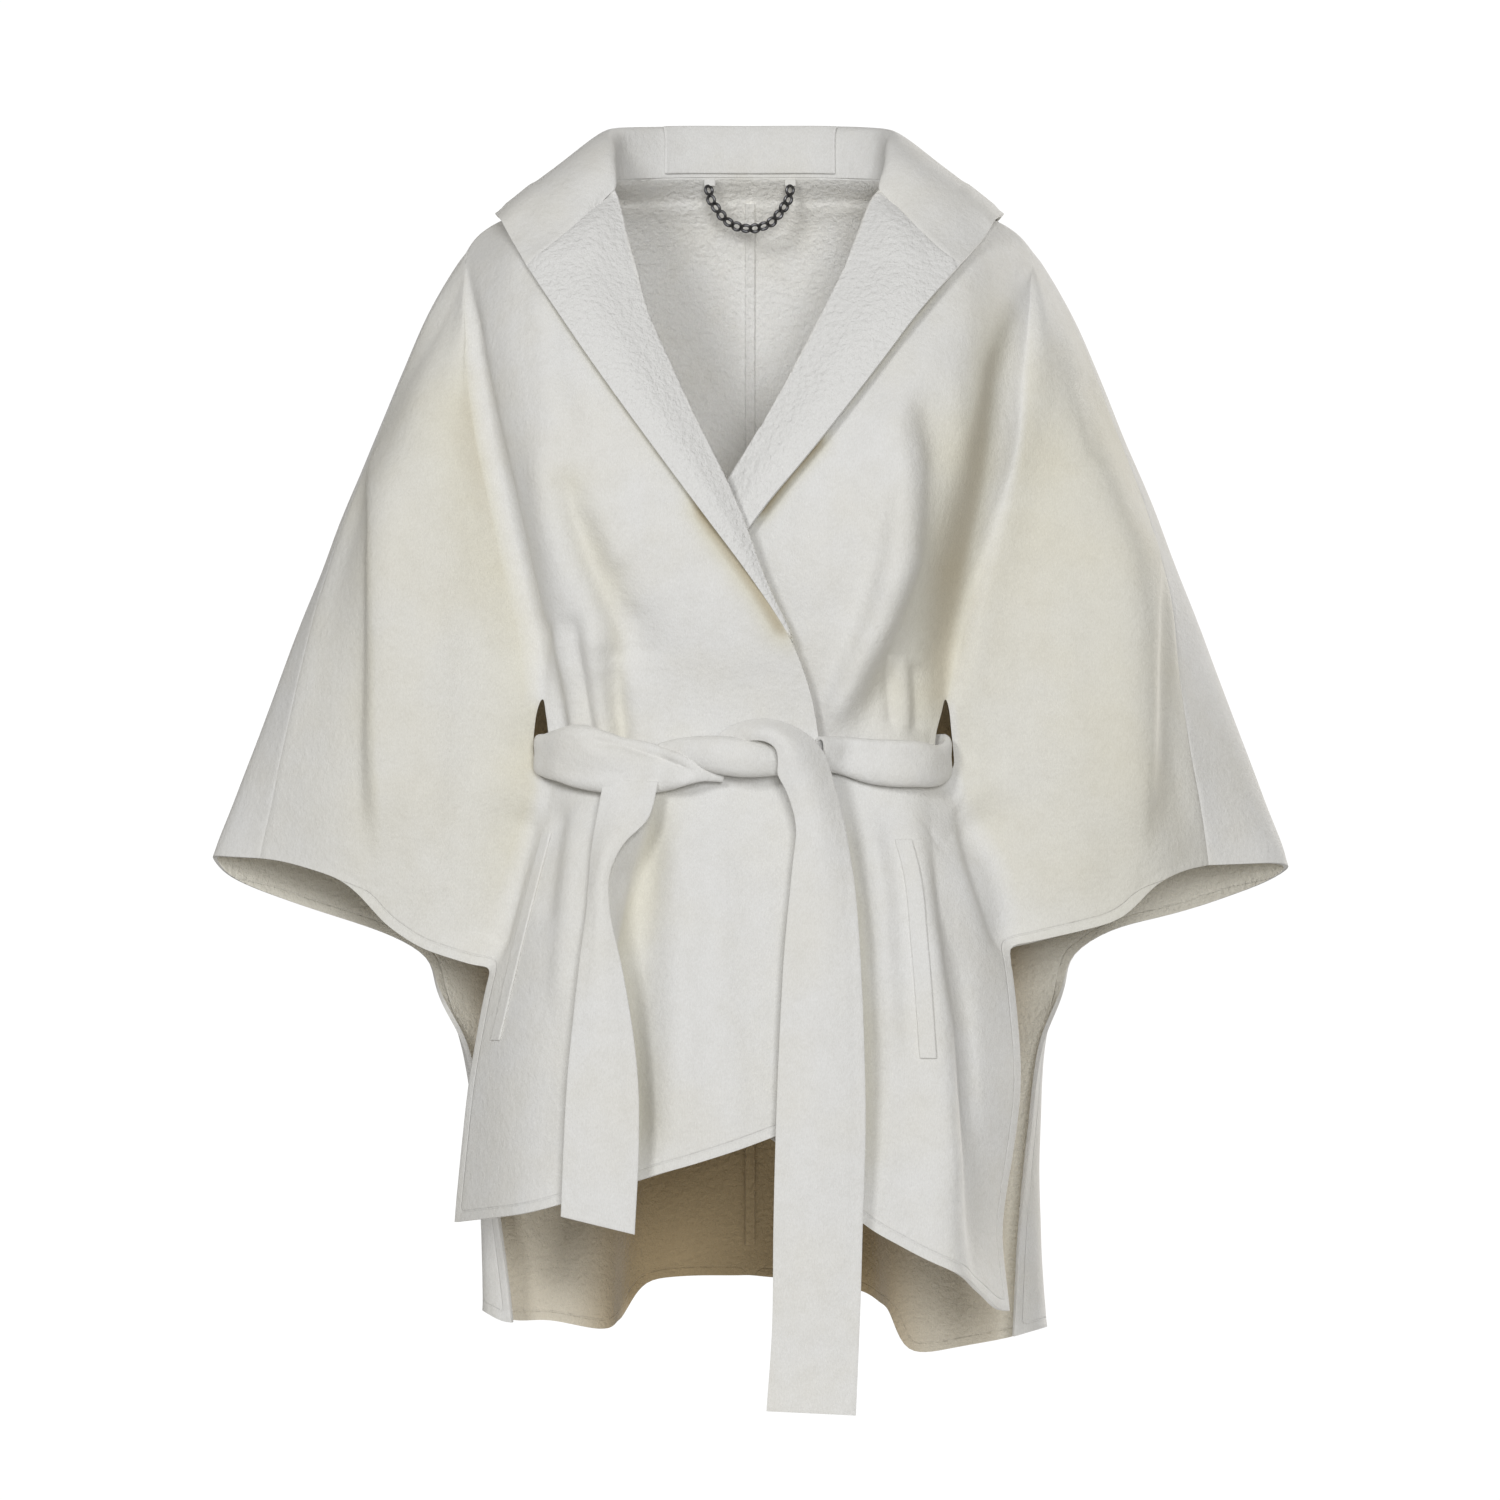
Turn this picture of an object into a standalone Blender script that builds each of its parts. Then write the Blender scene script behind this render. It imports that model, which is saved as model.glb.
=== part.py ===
# Cape coat: double-faced cloth panels, collar, belt and hanger chain.
# Sizes are in millimetres as a front view at the middle plane shows them; full_size makes them true.
# X runs to the wearer's left, the front faces -Y, Z is up, and the origin is at the base of the neck.
# side is -1 for the wearer's right and 1 for the left; "out" is the distance outwards from the centre.
import math

import bpy
import numpy as np

VIEW_DISTANCE = 3000.0
VIEW_HEIGHT = -367.0
CLOTH = 2.2
SEAM = 0.3
TRIM = 1.4
FACET = 0.5
FOLD_ENDS = 0.2
FOLD_TIP = 0.35
LOOKS = {"wool": ((0.75, 0.73, 0.69), 0.95, 0.0), "metal": ((0.2, 0.2, 0.21), 0.35, 1.0)}
TINY = 0.05
RIGHT = -1
LEFT = 1

# Front sections. edge: roll line or wrap edge; lapel: its free edge; ridge, fold: where body meets sleeve.
FRONT_COLUMNS = ("z", "edge", "edge_y", "lapel", "chest", "chest_y", "ridge", "ridge_y", "fold", "fold_y")
FRONT_RIGHT = (
    (35, 98, -36, 98, 99, -24, 98.5, -10, 97.5, 6),
    (25, 94, -44, 110, 112, -34, 129, -17, 141, 6),
    (12, 91, -53, 124, 124, -46, 156, -29, 182, 7),
    (-9, 85, -65, 150, 128, -63, 172, -44, 203, 8),
    (-18, 82, -70, 161, 128, -68, 174, -50, 204, -6),
    (-45, 76, -84, 143, 128, -83, 176, -64, 202, -32),
    (-94, 55, -103, 109, 118, -103, 172, -86, 197, -50),
    (-145, 31, -119, 72, 105, -118, 165, -99, 189, -58),
    (-199, 6, -128, 32, 90, -125, 155, -103, 175, -62),
    (-246, -11, -129, -3, 77, -123, 145, -100, 164, -62),
    (-290, -31, -123, -31, 60, -116, 135, -94, 154, -62),
    (-327, -44, -114, -44, 50, -108, 128, -90, 149, -66),
    (-372, -51, -108, -51, 50, -104, 124, -88, 143, -68),
    (-403, -52, -110, -52, 50, -107, 126, -90, 146, -68),
    (-443, -52, -121, -52, 55, -117, 138, -97, 160, -68),
    (-523, -52, -135, -52, 60, -132, 158, -106, 185, -70),
    (-600, -51, -145, -51, 66, -142, 172, -112, 200, -72),
    (-704, -49, -153, -49, 70, -152, 182, -118, 211, -74),
)
FRONT_LEFT = (
    (35, 93, -36, 93, 97, -24, 98.5, -10, 97.5, 6),
    (25, 86, -44, 104, 110, -34, 129, -17, 141, 6),
    (12, 81, -53, 117, 122, -46, 156, -29, 180, 7),
    (-9, 72, -65, 139, 126, -63, 170, -44, 201, 8),
    (-18, 69, -70, 151, 126, -68, 172, -50, 202, -6),
    (-45, 56, -83, 127, 124, -83, 176, -64, 200, -30),
    (-94, 30, -99, 89, 114, -103, 172, -84, 196, -46),
    (-145, 1, -108, 49, 105, -118, 166, -96, 190, -52),
    (-199, -30, -103, 5, 88, -123, 158, -96, 177, -54),
    (-246, -48, -102, -26, 80, -118, 148, -90, 163, -56),
    (-290, -58, -100, -58, 72, -107, 134, -84, 150, -58),
    (-327, -62, -97, -62, 66, -98, 122, -82, 141, -62),
    (-372, -62, -94, -62, 64, -94, 114, -82, 133, -66),
    (-403, -60, -96, -60, 66, -98, 124, -88, 148, -68),
    (-443, -56, -98, -56, 96, -110, 150, -98, 175, -70),
    (-523, -52, -106, -52, 108, -128, 162, -110, 189, -74),
    (-600, -46, -112, -46, 110, -140, 170, -120, 196, -82),
    (-704, -38, -118, -38, 108, -152, 168, -132, 187, -94),
)
# Sleeve front sections, from the fold out to the overarm seam.
SLEEVE_COLUMNS = ("z", "slit", "slit_y", "trough", "trough_y", "crown", "crown_y", "seam", "seam_y")
SLEEVE_RIGHT = (
    (-9, 203, 8, 203, 8, 203, 8, 203, 8),
    (-45, 202, -32, 208, -30, 216, -18, 226, 6),
    (-94, 197, -50, 208, -50, 232, -34, 248, 8),
    (-145, 189, -58, 204, -58, 246, -44, 268, 10),
    (-199, 175, -62, 198, -62, 262, -56, 290, 8),
    (-246, 164, -62, 196, -64, 268, -60, 306, -2),
    (-327, 153, -64, 196, -66, 268, -64, 327, -17),
    (-372, 156, -60, 200, -66, 272, -66, 337, -21),
    (-403, 149, -68, 206, -68, 280, -66, 343, -23),
    (-443, 160, -68, 216, -68, 290, -62, 352, -26),
    (-523, 185, -70, 230, -68, 300, -56, 360, -28),
)
SLEEVE_LEFT = (
    (-9, 201, 8, 201, 8, 201, 8, 201, 8),
    (-45, 200, -30, 206, -28, 214, -16, 224, 6),
    (-94, 196, -46, 208, -44, 232, -30, 246, 8),
    (-145, 190, -52, 206, -48, 248, -38, 266, 10),
    (-199, 177, -54, 204, -52, 268, -52, 286, 2),
    (-246, 163, -56, 200, -56, 276, -58, 300, -12),
    (-327, 144, -62, 196, -62, 282, -64, 310, -26),
    (-372, 147, -57, 192, -64, 283, -66, 317, -30),
    (-403, 150, -66, 200, -66, 284, -66, 323, -30),
    (-443, 175, -70, 216, -68, 288, -62, 329, -30),
    (-523, 189, -74, 230, -68, 300, -56, 336, -30),
)
# Back sections, from the overarm seam round the sleeve to the centre-back seam: pairs of out and depth.
BACK_UPPER = (
    (25, ((137, 25), (122, 46), (95, 62), (50, 71), (0, 74))),
    (12, ((178, 32), (155, 56), (112, 74), (58, 82), (0, 84))),
    (-9, ((202, 30), (185, 55), (135, 82), (68, 92), (0, 93))),
    (-45, ((225, 30), (205, 58), (155, 88), (78, 101), (0, 102))),
    (-94, ((248, 30), (225, 60), (170, 92), (85, 107), (0, 108))),
    (-145, ((269, 30), (245, 62), (180, 92), (90, 109), (0, 110))),
    (-199, ((292, 28), (265, 62), (190, 90), (92, 107), (0, 109))),
    (-246, ((310, 24), (283, 60), (200, 88), (95, 103), (0, 105))),
    (-290, ((328, 20), (298, 58), (208, 86), (97, 98), (0, 100))),
    (-327, ((342, 16), (310, 56), (213, 84), (100, 94), (0, 97))),
    (-403, ((371, 8), (330, 52), (220, 82), (103, 94), (0, 97))),
    (-443, ((386, 0), (337, 50), (224, 80), (105, 98), (0, 101))),
    (-516, ((392, -2), (345, 48), (229, 66), (110, 102), (0, 108))),
)
# Back skirt sections from the free side edge, which curls forward, to the centre-back seam.
BACK_SKIRT = (
    (-516, ((229, 66), (222, 78), (185, 90), (130, 99), (65, 107), (0, 108))),
    (-583, ((203, 48), (206, 62), (190, 76), (150, 87), (108, 99), (60, 111), (0, 113))),
    (-650, ((190, 26), (198, 42), (188, 58), (150, 68), (108, 86), (70, 114), (0, 119))),
    (-720, ((178, 14), (193, 30), (187, 48), (150, 54), (108, 64), (84, 112), (45, 122), (0, 124))),
    (-790, ((170, 8), (191, 22), (190, 42), (150, 46), (103, 52), (90, 104), (50, 124), (0, 127))),
)
SKIRT_SPREAD = {RIGHT: 0.0, LEFT: 22.0}

# Lower edges, as rows of out and z: front skirt, sleeve front, sleeve back and back skirt.
FRONT_HEM = {
    RIGHT: ((-52, -632), (-18, -645), (9, -655), (40, -665), (76, -675), (136, -694), (161, -701),
            (212, -707)),
    LEFT: ((-40, -622), (-12, -632), (12, -645), (36, -665), (58, -690), (82, -711), (122, -732),
           (158, -748),
           (170, -757), (179, -770), (187, -771)),
}
SLEEVE_HEM = {
    RIGHT: ((185, -523), (228, -511), (258, -495), (271, -483), (284, -469), (302, -458),
            (332, -449), (352, -445)),
    LEFT: ((189, -508), (228, -499), (256, -492), (266, -488), (276, -480), (284, -471),
           (294, -462), (312, -454),
           (329, -450)),
}
SLEEVE_BACK_HEM = {
    RIGHT: ((229, -516), (236, -509), (261, -496), (284, -490), (306, -483), (323, -478),
            (348, -468), (361, -464),
            (376, -456), (387, -443)),
    LEFT: ((229, -514), (231, -505), (263, -492), (280, -490), (308, -484), (334, -474),
           (357, -467), (373, -460),
           (383, -454), (387, -448)),
}
BACK_HEM = {
    RIGHT: ((0, -745), (45, -745), (80, -749), (92, -772), (103, -786), (120, -782), (150, -776),
            (175, -780),
            (192, -770)),
    LEFT: ((0, -745), (50, -749), (88, -757), (103, -772), (110, -799), (130, -802), (150, -796),
           (180, -792),
           (214, -782)),
}

# Heights of the grid rows above the hems. The sleeve starts at one row, and the belt slit lies between two.
ROWS = (35, 25, 12, -9, -18, -45, -69, -94, -120, -145, -172, -199, -222, -246, -268, -290, -308, -327,
        -350, -372, -388, -403, -425)
SLEEVE_TOP_ROW = 3
SLIT_Z = (-327, -403)
SLEEVE_END_ROWS = 4
SKIRT_ROWS = 7
HIGH_HEM_ROWS = 3
SHOULDER_FLAT_Z = 20
GORGE_ROWS = (1, 5)
LAPEL_FOOT_Z = -300
EDGE_FOOT_Z = -640
FOLD_FOOT_Z = -700
SLEEVE_LOW_Z = -443
FREE_SIDE_Z = {RIGHT: -523, LEFT: -508}
FREE_BACK_Z = {RIGHT: -516, LEFT: -514}
SIDE_STEP = 22
SLEEVE_SHORT = 40
SLEEVE_BRINK = 0.19
SKIRT_BLEND = 60.0
SPREAD_FROM = 110

# Grid columns, as fractions of the way across each patch.
BODY_STEPS = (0, 0.03, 0.08, 0.2, 0.32, 0.44, 0.56, 0.68, 0.79, 0.89, 0.96, 1)
SLEEVE_STEPS = (0, 0.14, 0.3, 0.46, 0.6, 0.74, 0.87, 1)
LAPEL_STEPS = (0, 0.1, 0.25, 0.5, 0.75, 1)
BACK_SLEEVE_STEPS = (0, 0.08, 0.18, 0.32, 0.5, 0.75, 1)
BACK_BODY_STEPS = (0, 0.06, 0.14, 0.25, 0.37, 0.48, 0.56, 0.63, 0.72, 0.86, 1)
SEAM_STEP = 0.7
BACK_SEAM_OUT = 0.17

# Soft folds in the fronts: width across, height (minus is a trough), then its line as (out, z) points.
FOLDS_RIGHT = (
    (16, -5, (132, -183), (110, -235), (80, -300)),
    (8, -4, (154, -292), (140, -355)),
    (7, 5, (130, -300), (117, -355)),
    (7, -4, (103, -310), (94, -355)),
    (14, -15, (72, -400), (80, -520), (86, -690)),
    (15, 8, (100, -405), (118, -700)),
    (14, 7, (50, -405), (52, -670)),
)
FOLDS_LEFT = (
    (17, 7, (151, -43), (110, -120), (94, -151), (108, -200), (108, -245), (80, -300), (50, -359)),
    (18, -9, (138, -110), (150, -190), (143, -260), (118, -345)),
    (10, -7, (148, -497), (158, -620), (168, -756)),
    (15, 6, (128, -405), (137, -700)),
)

# Collar sections from the gorge to the centre back: neckline, roll and free edge, each as out, depth and z.
NECKLINE = ((98, -36, 35), (98, -21, 39), (98, -7, 41), (97.5, 6, 42.5), (88, 27, 43.6),
            (50, 49, 44.6), (0, 57, 44.6))
ROLL = ((99, -38, 38), (100, -28, 55), (101, -9, 70), (101, 14, 77), (90, 40, 80), (52, 62, 81),
        (0, 68, 81))
FALL = ((130, -50, 12), (139, -40, 30), (142, -16, 46), (140, 16, 50), (124, 56, 46),
        (72, 88, 42), (0, 97, 41))
FREE_EDGE = ((162, -57, -15), (172, -48, 1), (183, -30, 17), (186, 14, 18), (164, 68, 6),
             (96, 106, -4), (0, 118, -7))
COLLAR_RISE = 1.25
COLLAR_STATIONS = (0, 0.3, 0.65, 1)
COLLAR_ACROSS = (0, 0.1, 0.2, 0.3, 0.4, 0.52, 0.65, 0.82, 1)
COLLAR_ALONG = (0, 0.5, 1, 1.5, 2, 2.5, 3, 3.5, 4, 4.5, 5, 5.5, 6)
COLLAR_EASE_LEFT = (4, 3)
GORGE_GAP = (0.7, 0.0, 0.8)
BAND_ACROSS = (0.03, 0.07, 0.11, 0.15, 0.19)
BAND_ALONG = (4.72, 5.04, 5.36, 5.68, 6)

# The lapel's turn: how far it stands off, its rounding, its half gap, and the widths over which these grow.
LAPEL_STAND = 7.0
LAPEL_FULL = 30.0
LAPEL_RISE = 1.6
ROLL_ROUND = 5.0
ROLL_OPEN = 2.5
EDGE_FADE = 12.0

# Belt stretches, a strip folded on itself: centre (x, y, z), half height, half depth.
# Where y is None it lies on the fronts, as far off them as the cloth beneath it needs.
BELT_PLY = 2.0
BELT_OVER = 52.0
BELT_FEEL = 9
BELT_SWELL = 1.08
BELT_LIP = 3.0
BELT_TUCK = 0.2
BELT_BAND = (
    (-42, -129, -384, 8, 3.2),
    (-62, -126, -379, 12, 3.6),
    (-86, None, -374, 17, 4.2),
    (-110, None, -371, 17, 4.2),
    (-130, None, -370, 17, 3.4),
    (-143, -87, -370, 16, 2.6),
    (-152, -75, -370, 14, 1.8),
    (-150.2, -63.5, -369, 13, 1.7),
    (-143, -49, -372, 15, 2.4),
    (-130, -20, -372, 17, 3.2),
    (-116, 20, -372, 18, 3.4),
    (-84, 54, -372, 18, 3.4),
    (-42, 73, -372, 18, 3.4),
    (0, 78, -372, 18, 3.4),
    (42, 73, -372, 18, 3.4),
    (84, 54, -372, 18, 3.4),
    (114, 20, -372, 18, 3.4),
    (122, -20, -372, 17, 3.2),
    (132, -48, -372, 15, 2.4),
    (140.5, -60.5, -369, 13, 1.7),
    (143, -73, -371, 14, 1.8),
    (134, -85, -375, 16, 2.6),
    (120, None, -376, 17, 3.4),
    (100, None, -374, 17, 4.2),
    (80, None, -372, 15, 4.2),
    (60, None, -371, 13, 4.2),
)
BELT_KNOT = (
    (20, -124, -372, 11, 5.0),
    (4, -125, -371, 13, 6.2),
    (-22, -121, -371, 13, 6.0),
    (-44, -113, -370, 10, 3.6),
    (-64, -109, -371, 8, 3.2),
)
# Tails as rows of left edge (x, z), right edge (x, z), and the depths of both.
TAIL_LONG = (
    (-6, -354.7, -19, -349, -119, -118),
    (2, -355.2, -7, -346, -127, -123),
    (12, -360, 12, -346, -138, -132),
    (19, -364, 32, -351, -140, -137),
    (19, -374, 48, -364, -140, -136),
    (21, -386, 57, -381, -138, -131),
    (28, -398, 61, -397, -135, -128),
    (32, -423, 68, -423, -136, -132),
    (29, -450, 73, -450, -142, -138),
    (25, -510, 78, -500, -153, -150),
    (22, -560, 81, -555, -160, -158),
    (19, -632, 83, -632, -166, -166),
    (17, -710, 81, -710, -170, -170),
    (16, -783, 79, -776, -172, -173),
    (12, -843, 76, -846, -174, -175),
)
TAIL_SHORT = (
    (-107, -392.9, -69, -392.9, -114, -121),
    (-110, -415, -74, -418, -121, -130),
    (-113, -436, -91, -434, -128, -136),
    (-115, -462, -102, -458, -134, -140),
    (-117, -482, -101, -484, -139, -145),
    (-122, -516, -94, -516, -147, -151),
    (-127, -560, -86, -560, -154, -158),
    (-131, -600, -81, -600, -159, -163),
    (-134, -652, -80, -650, -163, -168),
    (-136, -703, -83, -716, -166, -171),
)
TAIL_CURL = 4.0
TAIL_STEPS = (0, 0.25, 0.5, 0.75, 1)

# Pocket welts: inner line from top to bottom, as (out, z) pairs, and the width.
WELTS = {
    RIGHT: (((143, -426), (162, -500), (180, -576)), 6.5),
    LEFT: (((104, -431), (109, -449), (116, -510), (122, -589)), 12.5),
}
WELT_ROWS = 15

# Hanger chain: the middles of its links along a hanging curve, and its cloth tabs.
CHAIN = ((-28, 51, 29), (-24.5, 51, 23.5), (-20.5, 51, 18), (-15.5, 51, 13), (-9.5, 51, 10), (-3, 51, 8.6),
         (3.5, 51, 8.6), (9.8, 51, 10.2), (15.6, 51, 13.2), (20.5, 51, 18.4), (24.5, 51, 24),
         (27.5, 51, 29))
LINK_RADIUS = 3.0
NECK_RADIUS = 1.5
NECK_SHARE = 0.3
CHAIN_SIDES = 5
TAB_WIDE = 8.0
TAB_TOP = 44.0
TAB_FOOT = 31.7
TAB_OUT = 29.0
TAB_DEPTH = 51.5


def clear_scene():
    for item in list(bpy.data.objects):
        bpy.data.objects.remove(item, do_unlink=True)


def make_materials():
    found = {}
    for name, (colour, rough, metallic) in LOOKS.items():
        material = bpy.data.materials.new(name)
        material.use_nodes = True
        shader = material.node_tree.nodes["Principled BSDF"]
        shader.inputs["Base Color"].default_value = (*colour, 1)
        shader.inputs["Roughness"].default_value = rough
        shader.inputs["Metallic"].default_value = metallic
        found[name] = material
    return found


def full_size(points):
    """True places of points read on the front view: what is nearer looks larger there."""
    points = np.array(points, float)
    scale = (VIEW_DISTANCE + points[..., 1]) / VIEW_DISTANCE
    points[..., 0] *= scale
    points[..., 2] = (points[..., 2] - VIEW_HEIGHT) * scale + VIEW_HEIGHT
    return points


def smooth(keys, values, at):
    """A smooth curve through a table's values, held level beyond its ends."""
    keys = np.array(keys, float)
    values = np.array(values, float)
    if keys[0] > keys[-1]:
        keys, values = keys[::-1], values[::-1]
    slopes = np.gradient(values, keys, axis=0)
    at = np.clip(np.asarray(at, float), keys[0], keys[-1])
    index = np.clip(np.searchsorted(keys, at, side="right") - 1, 0, len(keys) - 2)
    width = keys[index + 1] - keys[index]
    t = (at - keys[index]) / width
    if values.ndim > 1:
        t = t[..., None]
        width = width[..., None]
    start, end = values[index], values[index + 1]
    return (
        start * (1 + 2 * t) * (1 - t) ** 2
        + end * t**2 * (3 - 2 * t)
        + slopes[index] * width * t * (1 - t) ** 2
        - slopes[index + 1] * width * t**2 * (1 - t)
    )


def along(points, at):
    """Points at fractions of the way along a smooth curve."""
    points = np.array(points, float)
    steps = np.linalg.norm(np.diff(points, axis=0), axis=1)
    points = np.concatenate([points[:1], points[1:][steps > TINY]])
    steps = steps[steps > TINY]
    if len(steps) == 0:
        return np.broadcast_to(points[0], np.shape(at) + points[0].shape)
    ways = np.concatenate([[0], np.cumsum(steps)]) / steps.sum()
    return smooth(ways, points, at)


def ease(value):
    value = np.clip(value, 0.0, 1.0)
    return value * value * (3 - 2 * value)


def column(table, names, name):
    return [row[names.index(name)] for row in table]


def surface(patches):
    """One mesh of the patches' grids, joined where their points meet."""
    found = {}
    points, faces = [], []
    for grid in patches:
        ids = np.zeros(grid.shape[:2], int)
        for i, row in enumerate(grid):
            for j, point in enumerate(row):
                key = tuple(int(round(c / TINY)) for c in point)
                if key not in found:
                    found[key] = len(points)
                    points.append(point)
                ids[i, j] = found[key]
        for i in range(ids.shape[0] - 1):
            for j in range(ids.shape[1] - 1):
                ring = (ids[i, j], ids[i, j + 1], ids[i + 1, j + 1], ids[i + 1, j])
                face = tuple(dict.fromkeys(int(c) for c in ring))
                if len(face) > 2:
                    faces.append(face)
    return np.array(points), faces


def add_object(name, mesh, look):
    """The mesh as an object of the coat, shaded smooth, in one of its materials."""
    made = bpy.data.objects.new(name, mesh)
    bpy.context.scene.collection.objects.link(made)
    made.parent = coat
    mesh.materials.append(materials[look])
    mesh.shade_smooth()
    return made


def wall(name, patches, thick, shift=0.0, look="wool"):
    """A closed wall of cloth about the patches; shift first moves them along their normals."""
    points, faces = surface(patches)
    mesh = bpy.data.meshes.new(name)
    mesh.from_pydata((points / 1000).tolist(), [], faces)
    mesh.update()
    if shift:
        moved = [vertex.co + vertex.normal * (shift / 1000) for vertex in mesh.vertices]
        for vertex, place in zip(mesh.vertices, moved):
            vertex.co = place
        mesh.update()
    made = add_object(name, mesh, look)
    solid = made.modifiers.new("wall", "SOLIDIFY")
    solid.thickness = thick / 1000
    solid.offset = 0
    solid.use_rim = True
    return made


def turned(grid, side):
    """A grid of out values as one of x, with its faces outwards for either side."""
    grid = np.array(grid, float)
    grid[..., 0] *= side
    return grid if side == LEFT else grid[:, ::-1]


def fold_height(folds, out, z):
    """How far the soft folds raise the cloth at (out, z)."""
    total = 0.0
    for width, height, *line in folds:
        line = np.array(line, float)
        steps = np.linalg.norm(np.diff(line, axis=0), axis=1)
        nearest = None
        for k, step in enumerate(steps):
            way = (line[k + 1] - line[k]) / step
            offset = np.array([out, z]) - line[k]
            share = min(max(float(offset @ way) / step, 0.0), 1.0)
            apart = float(np.linalg.norm(offset - way * step * share))
            if nearest is None or apart < nearest[0]:
                nearest = (apart, (steps[:k].sum() + step * share) / steps.sum())
        apart, reach = nearest
        ends = float(ease(min(reach, 1 - reach) / FOLD_ENDS))
        total += height * (FOLD_TIP + (1 - FOLD_TIP) * ends) * math.exp(-((apart / width) ** 2))
    return total


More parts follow.
